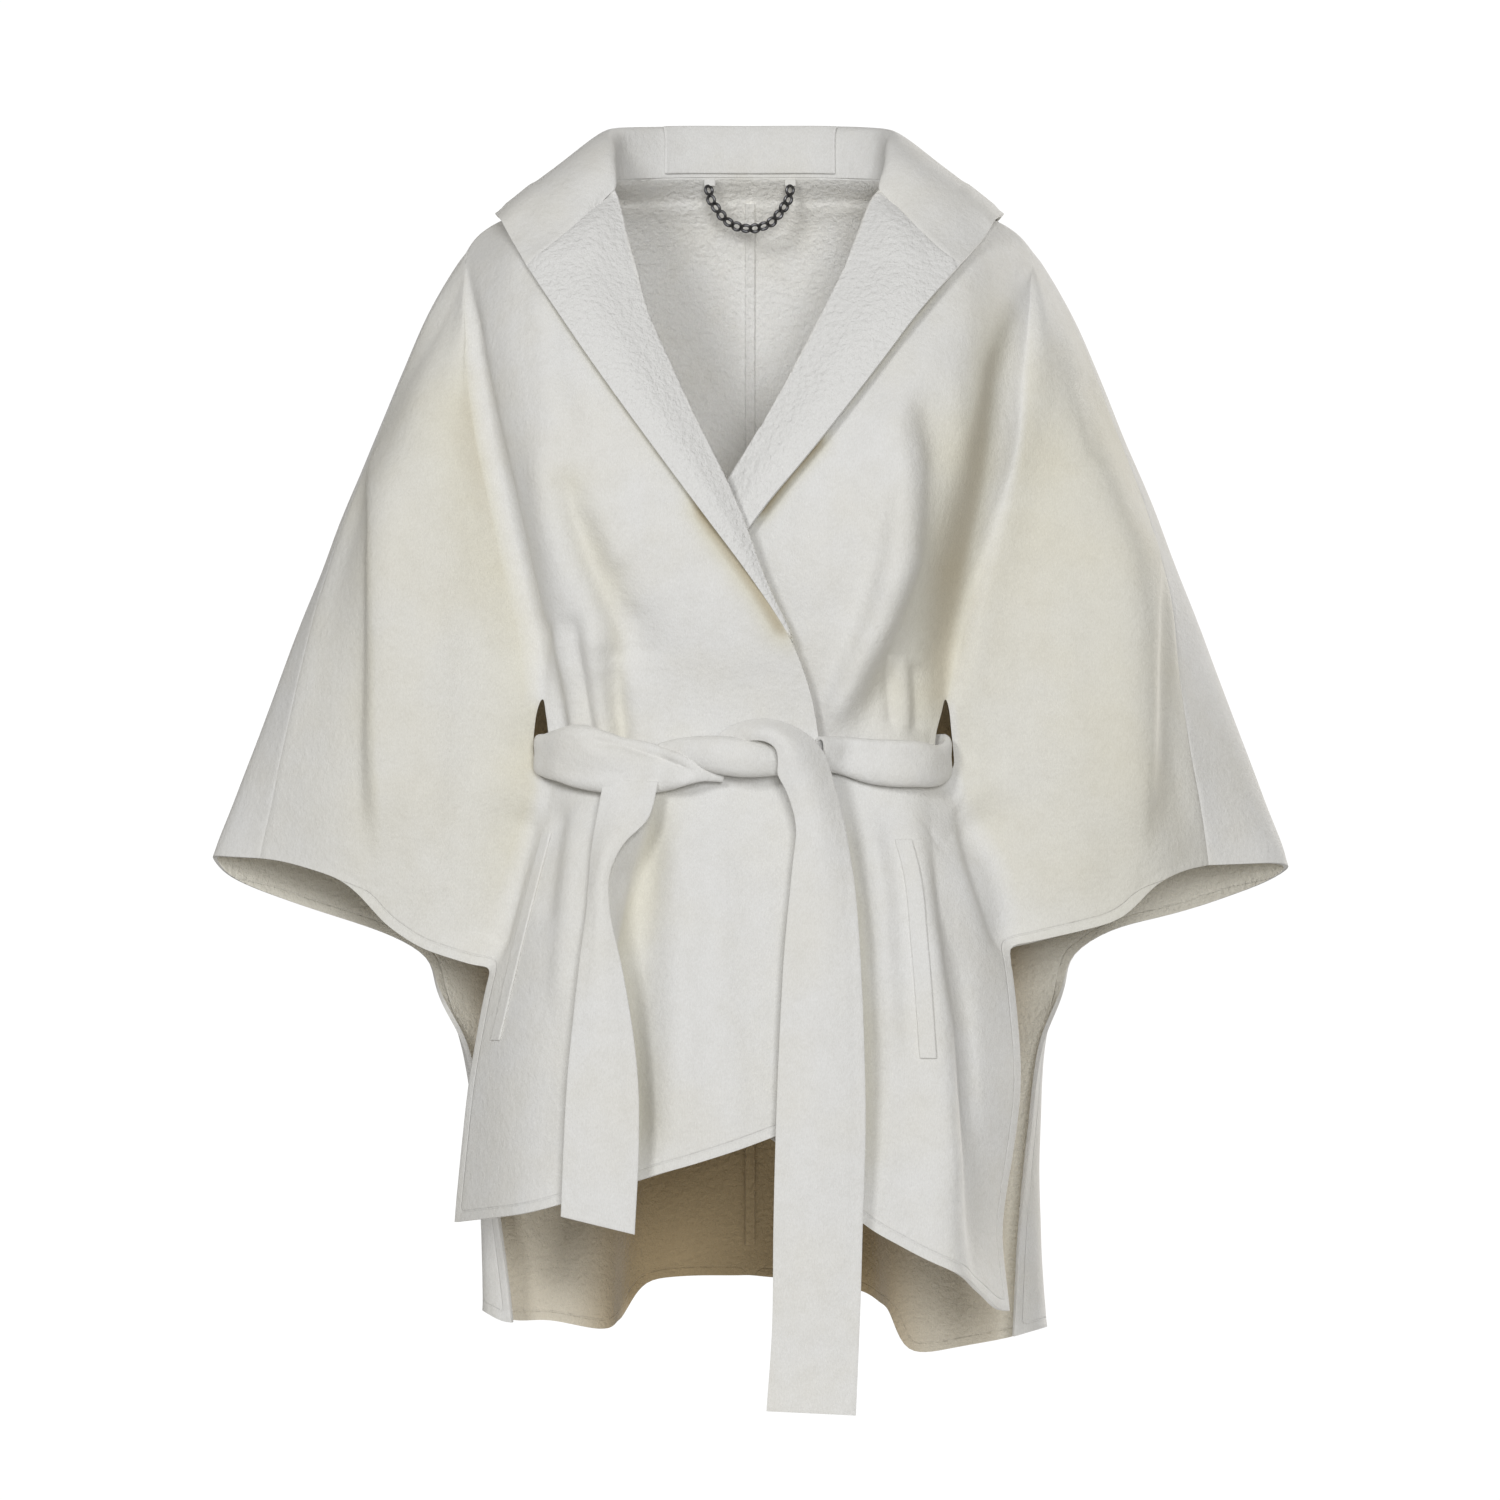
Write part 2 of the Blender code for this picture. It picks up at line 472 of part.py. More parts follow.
class Front:
    """One front: its body, sleeve half and turned lapel, all from the section tables."""

    def __init__(self, side):
        self.side = side
        self.table = FRONT_RIGHT if side == RIGHT else FRONT_LEFT
        self.sleeve = SLEEVE_RIGHT if side == RIGHT else SLEEVE_LEFT
        self.folds = FOLDS_RIGHT if side == RIGHT else FOLDS_LEFT

    def value(self, name, z):
        return smooth(column(self.table, FRONT_COLUMNS, "z"), column(self.table, FRONT_COLUMNS, name), z)

    def depth(self, out, z):
        """Depth of the body front at one (out, z)."""
        outs = [float(self.value(name, z)) for name in ("edge", "chest", "ridge", "fold")]
        depths = [float(self.value(name, z)) for name in ("edge_y", "chest_y", "ridge_y", "fold_y")]
        if z > SHOULDER_FLAT_Z:
            return float(np.interp(out, outs, depths)) if outs[3] > outs[0] + 1 else depths[0]
        fall = min(1.0, max(0.0, (outs[3] - out) / EDGE_FADE))
        return float(smooth(outs, depths, out)) - float(fold_height(self.folds, out, z)) * fall

    def roll(self, out, z):
        """How much of the roll's rounding is left at this distance from the edge, where a lapel turns."""
        lapel = float(self.value("lapel", z) - self.value("edge", z))
        share = min(1.0, max(0.0, lapel) / EDGE_FADE)
        return share * (1 - math.exp(-max(0.0, out - float(self.value("edge", z))) / ROLL_ROUND))

    def body_point(self, fraction, z):
        if z == ROWS[0]:
            return along(NECKLINE[:4], fraction) if self.side == RIGHT else self.left_neck(fraction)
        edge, fold = float(self.value("edge", z)), float(self.value("fold", z))
        out = edge + (fold - edge) * fraction
        return np.array([out, self.depth(out, z) + ROLL_OPEN * self.roll(out, z), z])

    def left_neck(self, fraction):
        start = np.array([float(self.value("edge", ROWS[0])), *NECKLINE[0][1:]])
        return along((start, *NECKLINE[1:4]), fraction)

    def lapel_point(self, fraction, z):
        edge, free = float(self.value("edge", z)), float(self.value("lapel", z))
        if z == ROWS[0] or free - edge < FACET:
            return self.body_point(0.0, z)
        out = edge + (free - edge) * fraction
        spread = min(1.0, (free - edge) / LAPEL_FULL)
        stand = ROLL_OPEN * self.roll(out, z) + LAPEL_STAND * spread * float(ease(fraction * LAPEL_RISE))
        return np.array([out, self.depth(out, z) - stand, z])

    def sleeve_point(self, fraction, z):
        names = (("slit", "slit_y"), ("trough", "trough_y"), ("crown", "crown_y"), ("seam", "seam_y"))
        keys = column(self.sleeve, SLEEVE_COLUMNS, "z")
        columns = {n: column(self.sleeve, SLEEVE_COLUMNS, n) for pair in names for n in pair}
        guides = [[float(smooth(keys, columns[n], z)) for n in pair] for pair in names]
        if not SLIT_Z[1] < z < SLIT_Z[0]:
            guides[0] = self.body_point(1.0, z)[:2]
        out, depth = along(guides, fraction)
        return np.array([out, depth, z])

    def heights(self, fraction):
        """Row heights of a body column, from the neck to the skirt hem."""
        edge_out = float(self.value("edge", EDGE_FOOT_Z))
        fold_out = float(self.value("fold", FOLD_FOOT_Z))
        hem = FRONT_HEM[self.side]
        last = float(np.interp(edge_out + (fold_out - edge_out) * fraction, *zip(*hem)))
        free = FREE_SIDE_Z[self.side]
        middle = free + (1 - fraction) * SIDE_STEP
        upper = np.linspace(ROWS[-1], middle, SLEEVE_END_ROWS + 1)[1:]
        lower = np.linspace(middle, last, SKIRT_ROWS + 1)[1:]
        return [*ROWS, *upper, *lower]

    def lies(self, out, z):
        """Depth of the built body grid at (out, z), flat between its points."""
        levels = [float(np.interp(out, row[:, 0], row[:, 2])) for row in self.body[1:]]
        depths = [float(np.interp(out, row[:, 0], row[:, 1])) for row in self.body[1:]]
        return float(np.interp(z, levels[::-1], depths[::-1]))

    def grids(self, body_steps, sleeve_steps, lapel_steps):
        count = len(ROWS) + SLEEVE_END_ROWS + SKIRT_ROWS
        body = np.zeros((count, len(body_steps), 3))
        for j, fraction in enumerate(body_steps):
            for i, z in enumerate(self.heights(fraction)):
                body[i, j] = self.body_point(fraction, z)
        self.body = body
        sleeve_count = len(ROWS) + SLEEVE_END_ROWS - SLEEVE_TOP_ROW
        sleeve = np.zeros((sleeve_count, len(sleeve_steps), 3))
        for j, fraction in enumerate(sleeve_steps):
            reach = self.sleeve_point(fraction, FREE_SIDE_Z[self.side] + SLEEVE_SHORT)[0]
            hem = float(np.interp(reach, *zip(*SLEEVE_HEM[self.side])))
            if fraction == 0:
                hem = FREE_SIDE_Z[self.side]
            levels = [*ROWS[SLEEVE_TOP_ROW:], *np.linspace(ROWS[-1], hem, SLEEVE_END_ROWS + 1)[1:]]
            if hem > ROWS[-1] - SLEEVE_SHORT:
                start = len(ROWS) - SLEEVE_TOP_ROW - HIGH_HEM_ROWS
                levels[start:] = np.linspace(levels[start], hem, len(levels) - start)
            for i, z in enumerate(levels):
                sleeve[i, j] = self.sleeve_point(fraction, z)
        rows = [z for z in ROWS if z > LAPEL_FOOT_Z]
        lapel = np.zeros((len(rows), len(lapel_steps), 3))
        for i, z in enumerate(rows):
            for j, fraction in enumerate(lapel_steps):
                lapel[i, j] = self.lapel_point(fraction, z)
        return body, sleeve, lapel


def build_front(side):
    front = Front(side)
    grids = front.grids(BODY_STEPS, SLEEVE_STEPS, LAPEL_STEPS)
    body, sleeve, lapel = [full_size(turned(grid, side)) for grid in grids]
    name = "front_right" if side == RIGHT else "front_left"
    wall(name, [body, sleeve, lapel[:, ::-1]], CLOTH)
    return front


def seam_point(front, z):
    """The overarm seam: the body front's side down to the shoulder point, then the sleeve's."""
    return front.body_point(1.0, z) if z >= ROWS[SLEEVE_TOP_ROW] else front.sleeve_point(1.0, z)


def section_at(rows, guide, z):
    """One guide point (out, depth) of a table of back sections at height z."""
    return smooth([row[0] for row in rows], [row[1][guide] for row in rows], z)


def skirt_curves(side):
    """The back skirt's sections, each as a curve of the body's columns."""
    spread = SKIRT_SPREAD[side]
    top = BACK_SKIRT[0][0]
    curves = []
    for z, guides in BACK_SKIRT:
        wide = 1 + spread * (top - z) / (top - BACK_SKIRT[-1][0]) / guides[1][0]
        reach = np.array([(out * (wide if out > SPREAD_FROM else 1), depth) for out, depth in guides])
        curves.append(along(reach, BACK_BODY_STEPS))
    return np.array(curves)


def build_back(front):
    """One back half: its sleeve patch from the overarm seam, and its body patch to the centre-back seam."""
    side = front.side
    rows = ROWS
    last = rows[-1]
    sleeve = np.zeros((len(rows) + SLEEVE_END_ROWS, len(BACK_SLEEVE_STEPS), 3))
    body = np.zeros((len(rows) + SLEEVE_END_ROWS + SKIRT_ROWS, len(BACK_BODY_STEPS), 3))
    curves = skirt_curves(side)
    curve_z = [row[0] for row in BACK_SKIRT]

    def upper(z):
        guides = [section_at(BACK_UPPER, k, z) for k in range(len(BACK_UPPER[0][1]))]
        seam = seam_point(front, z)
        gap = np.array([0.0, SEAM_STEP])
        rim = along((seam[:2] + gap, *guides[:3]), BACK_SLEEVE_STEPS)
        return rim, along((guides[2], guides[3], guides[4]), BACK_BODY_STEPS)

    for i, z in enumerate(rows):
        if i == 0:
            start = np.array(NECKLINE[3]) + (0, SEAM_STEP, 0)
            sleeve[i] = start
            body[i] = along((start, *NECKLINE[4:]), BACK_BODY_STEPS)
            continue
        rim, middle = upper(z)
        sleeve[i, :, :2], body[i, :, :2] = rim, middle
        sleeve[i, :, 2] = body[i, :, 2] = z
    count = len(rows)
    for j in range(len(BACK_SLEEVE_STEPS)):
        reach = upper(SLEEVE_LOW_Z)[0][j][0]
        hem = float(np.interp(reach, *zip(*SLEEVE_BACK_HEM[side])))
        if BACK_SLEEVE_STEPS[j] <= SLEEVE_BRINK:
            share = BACK_SLEEVE_STEPS[j] / SLEEVE_BRINK
            hem = SLEEVE_HEM[side][-1][1] * (1 - share) + SLEEVE_BACK_HEM[side][-1][1] * share
        if j == len(BACK_SLEEVE_STEPS) - 1:
            hem = FREE_BACK_Z[side]
        for i, z in enumerate(np.linspace(last, hem, SLEEVE_END_ROWS + 1)[1:]):
            sleeve[count + i, j] = (*upper(z)[0][j], z)
    for j, fraction in enumerate(BACK_BODY_STEPS):
        free = FREE_BACK_Z[side]
        for i, z in enumerate(np.linspace(last, free, SLEEVE_END_ROWS + 1)[1:]):
            body[count + i, j] = (*upper(z)[1][j], z)
        bottom = curves[-1][j]
        hem = float(np.interp(bottom[0], *zip(*BACK_HEM[side])))
        for i, z in enumerate(np.linspace(free, hem, SKIRT_ROWS + 1)[1:]):
            low = smooth(curve_z, curves[:, j], z)
            join = ease((free - z) / SKIRT_BLEND)
            over = upper(max(z, BACK_UPPER[-1][0]))[1][j]
            body[count + SLEEVE_END_ROWS + i, j] = (*(low * join + over * (1 - join)), z)
    body[:, -1, 0] = BACK_SEAM_OUT
    name = "back_right" if side == RIGHT else "back_left"
    wall(name, [full_size(turned(grid, side)) for grid in (sleeve, body)], CLOTH)


def collar_guides(front):
    """The collar's neckline, roll, fall and free edge on one side, from the gorge to the centre back."""
    gorge = [front.lapel_point(1.0, z) + GORGE_GAP for z in ROWS[slice(*GORGE_ROWS)]]
    start = np.array(ROLL[0], float)
    start[0] += float(front.value("edge", ROWS[0])) - NECKLINE[0][0]
    neck = np.array(NECKLINE, float)
    neck[0, 0] += start[0] - ROLL[0][0]
    neck[:, 2] += COLLAR_RISE
    gorge = np.array([start, *gorge])
    roll, fall, free = np.array(ROLL, float), np.array(FALL, float), np.array(FREE_EDGE, float)
    roll[0] = start
    fall[0] = gorge[2]
    free[0] = gorge[-1]
    if front.side == LEFT:
        free[1:3, 0] -= COLLAR_EASE_LEFT
    return neck, roll, fall, free, gorge


def collar_half(front, across=COLLAR_ACROSS, stations=COLLAR_ALONG):
    """Collar points on one side: a row for each station from the gorge to the centre back."""
    neck, roll, fall, free, gorge = collar_guides(front)
    marks = range(len(neck))
    grid = []
    for station in stations:
        guides = [smooth(marks, line, float(station)) for line in (neck, roll, fall, free)]
        if station == 0:
            level = [np.interp(t, (0, COLLAR_STATIONS[1]), (0, 1)) for t in across]
            way = [np.interp(t, (COLLAR_STATIONS[1], 1), (0, 1)) for t in across]
            steps = np.linalg.norm(np.diff(gorge, axis=0), axis=1)
            ways = np.concatenate([[0], np.cumsum(steps)]) / steps.sum()
            line = np.array([[np.interp(w, ways, gorge[:, k]) for k in range(3)] for w in way])
            base = np.array([guides[0] + (roll[0] - guides[0]) * share for share in level])
            early = np.array(across)[:, None] <= COLLAR_STATIONS[1]
            grid.append(np.where(early, base, line))
        else:
            grid.append(smooth(COLLAR_STATIONS, guides, across))
    return np.array(grid)


def collar_grid(across=COLLAR_ACROSS, stations=COLLAR_ALONG):
    right = collar_half(fronts[RIGHT], across, stations) * (RIGHT, 1, 1)
    left = collar_half(fronts[LEFT], across, stations)
    return full_size(np.concatenate([right, left[::-1][1:]]))


def build_collar():
    wall("collar", [collar_grid()], CLOTH)
    band = collar_grid(BAND_ACROSS, BAND_ALONG)
    wall("neck_band", [band], TRIM, shift=CLOTH / 2 + SEAM + TRIM / 2 + FACET)


def build_welt(front):
    line, wide = WELTS[front.side]
    rows = []
    for out, z in along(line, np.linspace(0, 1, WELT_ROWS)):
        rows.append([(out + wide * k, front.lies(out + wide * k, z), z) for k in (0, 0.5, 1)])
    name = "pocket_welt_right" if front.side == RIGHT else "pocket_welt_left"
    wall(name, [full_size(turned(rows, front.side))], TRIM, shift=CLOTH / 2 + SEAM + TRIM / 2 + FACET)


def on_front(x, z, high, deep):
    """Depth of a strip's centre that clears the front under it by a seam's gap."""
    front = fronts[RIGHT if x < BELT_OVER else LEFT]
    under = [
        front.lies(x * front.side + side_step, z + rise)
        for side_step in (-BELT_FEEL, 0, BELT_FEEL) for rise in (-high, -high / 2, 0, high / 2, high)
    ]
    return min(under) - CLOTH / 2 - SEAM - deep * BELT_SWELL - BELT_PLY / 2


def folded_strip(name, rows):
    """A strip folded on itself, with its two edges near each other on its inner side."""
    placed = [(x, on_front(x, z, high, deep) if y is None else y, z) for x, y, z, high, deep in rows]
    centres, sizes = full_size(placed), np.array([row[3:] for row in rows], float)
    ways = np.gradient(centres, axis=0)
    grid = []
    for centre, way, (high, deep) in zip(centres, ways, sizes):
        way = way / np.linalg.norm(way)
        outward = np.cross((0, 0, 1), way)
        outward /= np.linalg.norm(outward)
        upward = np.cross(way, outward)
        turn = high - deep
        half = deep * math.sqrt(0.5)
        section = (
            (-deep, BELT_LIP - turn), (-deep, -turn), (-half, -turn - half), (0, -high),
            (half, -turn - half),
            (deep, -turn), (deep * BELT_SWELL, 0), (deep, turn), (half, turn + half), (0, high),
            (-half, turn + half), (-deep, turn), (-deep, -turn * BELT_TUCK),
        )
        grid.append([centre + outward * off + upward * rise for off, rise in section])
    wall(name, [np.array(grid)], BELT_PLY)


def tail(name, rows):
    grid = []
    for left_x, left_z, right_x, right_z, left_y, right_y in rows:
        ends = np.array([(left_x, left_y, left_z), (right_x, right_y, right_z)], float)
        row = [
            ends[0] * (1 - t) + ends[1] * t - (0, TAIL_CURL * math.sin(math.pi * t), 0)
            for t in TAIL_STEPS
        ]
        grid.append(row)
    wall(name, [full_size(grid)], BELT_PLY)


def build_chain():
    """The hanger chain as one bar that swells at each link."""
    links = np.array(CHAIN, float)
    rings = []
    for i, link in enumerate(links):
        way = links[min(i + 1, len(links) - 1)] - links[max(i - 1, 0)]
        way = way / np.linalg.norm(way)
        across = np.cross(way, (0, 1, 0))
        step = np.linalg.norm(links[1] - links[0])
        for share, radius in ((-NECK_SHARE, NECK_RADIUS), (0, LINK_RADIUS), (NECK_SHARE, NECK_RADIUS)):
            centre = link + way * step * share
            turns = [2 * math.pi * k / CHAIN_SIDES for k in range(CHAIN_SIDES)]
            spokes = [across * math.cos(a) + np.array((0, 1, 0)) * math.sin(a) for a in turns]
            rings.append([centre + radius * spoke for spoke in spokes])
    points = full_size(rings).reshape(-1, 3)
    count = len(rings)
    last_ring = (count - 1) * CHAIN_SIDES
    faces = [tuple(range(CHAIN_SIDES)), tuple(range(last_ring + CHAIN_SIDES - 1, last_ring - 1, -1))]
    for i in range(count - 1):
        for k in range(CHAIN_SIDES):
            a, b = i * CHAIN_SIDES + k, i * CHAIN_SIDES + (k + 1) % CHAIN_SIDES
            faces.append((b, a, a + CHAIN_SIDES, b + CHAIN_SIDES))
    mesh = bpy.data.meshes.new("hanger_chain")
    mesh.from_pydata((points / 1000).tolist(), [], faces)
    mesh.update()
    add_object("hanger_chain", mesh, "metal")


def build_tab(side):
    rows = []
    for z in np.linspace(TAB_TOP, TAB_FOOT, 3):
        rows.append([(side * TAB_OUT + TAB_WIDE * (k - 0.5), TAB_DEPTH, z) for k in (0, 0.5, 1)])
    wall("chain_tab_right" if side == RIGHT else "chain_tab_left", [full_size(rows)], TRIM)


clear_scene()
materials = make_materials()
coat = bpy.data.objects.new("cape_coat", None)
bpy.context.scene.collection.objects.link(coat)
fronts = {side: build_front(side) for side in (RIGHT, LEFT)}
for side in (RIGHT, LEFT):
    build_back(fronts[side])
    build_welt(fronts[side])
    build_tab(side)
build_collar()
folded_strip("belt_band", BELT_BAND)
folded_strip("belt_knot", BELT_KNOT)
tail("belt_tail_long", TAIL_LONG)
tail("belt_tail_short", TAIL_SHORT)
build_chain()
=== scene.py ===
# Looks of the cape coat: fine double-faced wool panels, seams, stitches, belt and hanger chain.
# Table sizes are in millimetres as the front view at the middle plane shows them; full_size makes them true.
# X runs to the wearer's left, the front faces -Y, Z is up, and the origin is at the base of the neck.
import math

import bpy
import numpy as np
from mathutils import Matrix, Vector, noise
from mathutils.bvhtree import BVHTree
from mathutils.kdtree import KDTree


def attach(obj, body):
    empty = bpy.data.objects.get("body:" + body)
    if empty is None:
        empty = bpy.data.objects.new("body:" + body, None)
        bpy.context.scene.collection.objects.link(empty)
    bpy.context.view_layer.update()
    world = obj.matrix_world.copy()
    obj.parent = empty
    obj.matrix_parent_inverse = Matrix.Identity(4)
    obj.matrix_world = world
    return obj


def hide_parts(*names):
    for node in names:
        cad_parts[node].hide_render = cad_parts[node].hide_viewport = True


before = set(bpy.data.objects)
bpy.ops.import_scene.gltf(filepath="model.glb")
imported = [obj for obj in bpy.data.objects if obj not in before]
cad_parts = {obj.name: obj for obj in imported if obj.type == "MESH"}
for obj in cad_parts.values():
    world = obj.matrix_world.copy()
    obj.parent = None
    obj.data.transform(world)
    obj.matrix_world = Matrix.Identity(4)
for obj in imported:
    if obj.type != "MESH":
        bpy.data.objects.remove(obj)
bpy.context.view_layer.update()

VIEW_DISTANCE = 3000.0
VIEW_HEIGHT = -367.0
RIGHT = -1
LEFT = 1
TINY = 0.05
FACET = 0.5
FOLD_ENDS = 0.2
FOLD_TIP = 0.08

# Cloth walls: their thicknesses, the rounding of cut edges, and how often the grids are halved.
CLOTH = 3.4
TRIM = 1.9
STRAP = 2.4
TIE = 2.6
EDGE_ROUND = 1.2
EDGE_SEGMENTS = 2
EDGE_SHARP = math.radians(50)
FINE = 2
SEAM = 0.3
CORNER_NEAR = 1.0

# Shares of a wall's thickness: within a panel, at a cut edge, at its stitch groove and at a seam.
WALL_SHARE = 0.82
WALL_LEAST, WALL_MOST = 0.2, 1.0
EDGE_SWELL, EDGE_REACH, EDGE_FAR = 0.16, 3.0, 40.0
GROOVE_SHARE, GROOVE_OFF, GROOVE_WIDE = 0.16, 6.8, 1.5
SEAM_SHARE, SEAM_REACH, SEAM_FIND = 0.3, 2.0, 6.0

# Front sections. edge: roll line or wrap edge; lapel: its free edge; ridge, fold: where the sleeve starts.
FRONT_COLUMNS = ("z", "edge", "edge_y", "lapel", "chest", "chest_y", "ridge", "ridge_y", "fold", "fold_y")
FRONT = {RIGHT: (
    (35, 98, -36, 98, 99, -24, 98.5, -10, 97.5, 6),
    (25, 94, -44, 110, 112, -34, 129, -17, 141, 6),
    (12, 91, -53, 124, 124, -46, 156, -29, 182, 7),
    (-9, 85, -65, 150, 128, -63, 172, -44, 203, 8),
    (-18, 82, -70, 161, 128, -68, 174, -50, 204, -6),
    (-23, 80.9, -72.6, 157.7, 128, -70.8, 174.4, -52.6, 203.6, -10.8),
    (-45, 76, -84, 143, 128, -83, 176, -64, 202, -32),
    (-94, 55, -103, 109, 118, -103, 172, -86, 197, -50),
    (-145, 31, -119, 72, 105, -118, 165, -99, 189, -58),
    (-199, 6, -128, 32, 90, -125, 155, -103, 175, -62),
    (-246, -11, -129, -3, 77, -123, 145, -100, 164, -62),
    (-290, -31, -123, -31, 60, -116, 135, -94, 154, -62),
    (-327, -44, -114, -44, 50, -108, 128, -90, 149, -66),
    (-372, -51, -108, -51, 50, -104, 124, -88, 143, -68),
    (-403, -52, -110, -52, 50, -107, 126, -90, 146, -68),
    (-443, -52, -121, -52, 55, -117, 138, -97, 160, -68),
    (-523, -52, -135, -52, 60, -132, 158, -106, 185, -70),
    (-600, -51, -145, -51, 66, -142, 172, -112, 200, -72),
    (-704, -49, -153, -49, 70, -152, 182, -118, 211, -74),
), LEFT: (
    (35, 93, -36, 93, 97, -24, 98.5, -10, 97.5, 6),
    (25, 86, -44, 104, 110, -34, 129, -17, 141, 6),
    (12, 81, -53, 117, 122, -46, 156, -29, 180, 7),
    (-9, 72, -65, 139, 126, -63, 170, -44, 201, 8),
    (-18, 69, -70, 151, 126, -68, 172, -50, 202, -6),
    (-23, 66.6, -72.4, 146.6, 125.6, -70.8, 172.7, -52.6, 201.6, -10.4),
    (-45, 56, -83, 127, 124, -83, 176, -64, 200, -30),
    (-94, 30, -99, 89, 114, -103, 172, -84, 196, -46),
    (-145, 1, -108, 49, 105, -118, 166, -96, 190, -52),
    (-199, -30, -103, 5, 88, -123, 158, -96, 177, -54),
    (-246, -48, -102, -26, 80, -118, 148, -90, 163, -56),
    (-290, -58, -100, -58, 72, -107, 134, -84, 150, -58),
    (-327, -62, -97, -62, 66, -98, 122, -82, 141, -62),
    (-372, -62, -94, -62, 64, -94, 114, -82, 133, -66),
    (-403, -60, -96, -60, 66, -98, 124, -88, 148, -68),
    (-443, -56, -98, -56, 96, -110, 150, -98, 175, -70),
    (-523, -52, -106, -52, 108, -128, 162, -110, 189, -74),
    (-600, -46, -112, -46, 110, -140, 170, -120, 196, -82),
    (-704, -38, -118, -38, 108, -152, 168, -132, 187, -94),
)}
# Sleeve front sections, from the fold out to the overarm seam.
SLEEVE_COLUMNS = ("z", "slit", "slit_y", "trough", "trough_y", "crown", "crown_y", "seam", "seam_y")
SLEEVE = {RIGHT: (
    (-9, 203, 8, 203, 8, 203, 8, 203, 8),
    (-45, 202, -32, 208, -30, 216, -18, 226, 6),
    (-94, 197, -50, 208, -50, 232, -34, 248, 8),
    (-145, 189, -58, 204, -58, 246, -44, 268, 10),
    (-199, 175, -62, 198, -62, 262, -56, 290, 8),
    (-246, 164, -62, 196, -64, 268, -60, 306, -2),
    (-327, 153, -64, 196, -66, 268, -64, 327, -17),
    (-372, 156, -60, 200, -66, 272, -66, 337, -21),
    (-403, 149, -68, 206, -68, 280, -66, 343, -23),
    (-443, 160, -68, 216, -68, 290, -62, 352, -26),
    (-523, 185, -70, 230, -68, 300, -56, 360, -28),
), LEFT: (
    (-9, 201, 8, 201, 8, 201, 8, 201, 8),
    (-45, 200, -30, 206, -28, 214, -16, 224, 6),
    (-94, 196, -46, 208, -44, 232, -30, 246, 8),
    (-145, 190, -52, 206, -48, 248, -38, 266, 10),
    (-199, 177, -54, 204, -52, 268, -52, 286, 2),
    (-246, 163, -56, 200, -56, 276, -58, 300, -12),
    (-327, 144, -62, 196, -62, 282, -64, 310, -26),
    (-372, 147, -57, 192, -64, 283, -66, 317, -30),
    (-403, 150, -66, 200, -66, 284, -66, 323, -30),
    (-443, 175, -70, 216, -68, 288, -62, 329, -30),
    (-523, 189, -74, 230, -68, 300, -56, 336, -30),
)}
# Back sections, from the overarm seam round the sleeve to the centre-back seam: pairs of out and depth.
BACK_UPPER = (
    (25, ((137, 25), (122, 46), (95, 62), (50, 71), (0, 74))),
    (12, ((178, 32), (155, 56), (112, 74), (58, 82), (0, 84))),
    (-9, ((202, 30), (185, 55), (135, 82), (68, 92), (0, 93))),
    (-45, ((225, 30), (205, 58), (155, 88), (78, 101), (0, 102))),
    (-94, ((248, 30), (225, 60), (170, 92), (85, 107), (0, 108))),
    (-145, ((269, 30), (245, 62), (180, 92), (90, 109), (0, 110))),
    (-199, ((292, 28), (265, 62), (190, 90), (92, 107), (0, 109))),
    (-246, ((310, 24), (283, 60), (200, 88), (95, 103), (0, 105))),
    (-290, ((328, 20), (298, 58), (208, 86), (97, 98), (0, 100))),
    (-327, ((342, 16), (310, 56), (213, 84), (100, 94), (0, 97))),
    (-403, ((371, 8), (330, 52), (220, 82), (103, 94), (0, 97))),
    (-443, ((386, 0), (337, 50), (224, 80), (105, 98), (0, 101))),
    (-516, ((392, -2), (345, 48), (229, 66), (110, 102), (0, 108))),
)
# Back skirt sections from the free side edge, which curls forward, to the centre-back seam.
BACK_SKIRT = (
    (-516, ((229, 66), (222, 78), (185, 90), (130, 99), (65, 107), (0, 108))),
    (-583, ((203, 48), (206, 62), (190, 76), (150, 87), (108, 99), (60, 111), (0, 113))),
    (-650, ((190, 26), (198, 42), (188, 58), (150, 68), (108, 86), (70, 114), (0, 119))),
    (-720, ((178, 14), (193, 30), (187, 48), (150, 54), (108, 64), (84, 112), (45, 122), (0, 124))),
    (-790, ((170, 8), (191, 22), (190, 42), (150, 46), (103, 52), (90, 104), (50, 124), (0, 127))),
)
SKIRT_SPREAD = {RIGHT: 0.0, LEFT: 22.0}

# Lower edges, as rows of out and z: front skirt, sleeve front, sleeve back and back skirt.
FRONT_HEM = {
    RIGHT: ((-52, -632), (-18, -645), (9, -655), (40, -665), (76, -675), (136, -694), (161, -701),
            (212, -707)),
    LEFT: ((-40, -622), (-12, -632), (12, -645), (36, -665), (58, -690), (82, -711), (122, -732),
           (158, -748), (170, -757), (179, -770), (187, -771)),
}
SLEEVE_HEM = {
    RIGHT: ((185, -523), (228, -511), (258, -495), (271, -483), (284, -469), (302, -458), (332, -449),
            (352, -445)),
    LEFT: ((189, -508), (228, -499), (256, -492), (266, -488), (276, -480), (284, -471), (294, -462),
           (312, -454), (329, -450)),
}
SLEEVE_BACK_HEM = {
    RIGHT: ((229, -516), (236, -509), (261, -496), (284, -490), (306, -483), (323, -478), (348, -468),
            (361, -464), (376, -456), (387, -443)),
    LEFT: ((229, -514), (231, -505), (263, -492), (280, -490), (308, -484), (334, -474), (357, -467),
           (373, -460), (383, -454), (387, -448)),
}
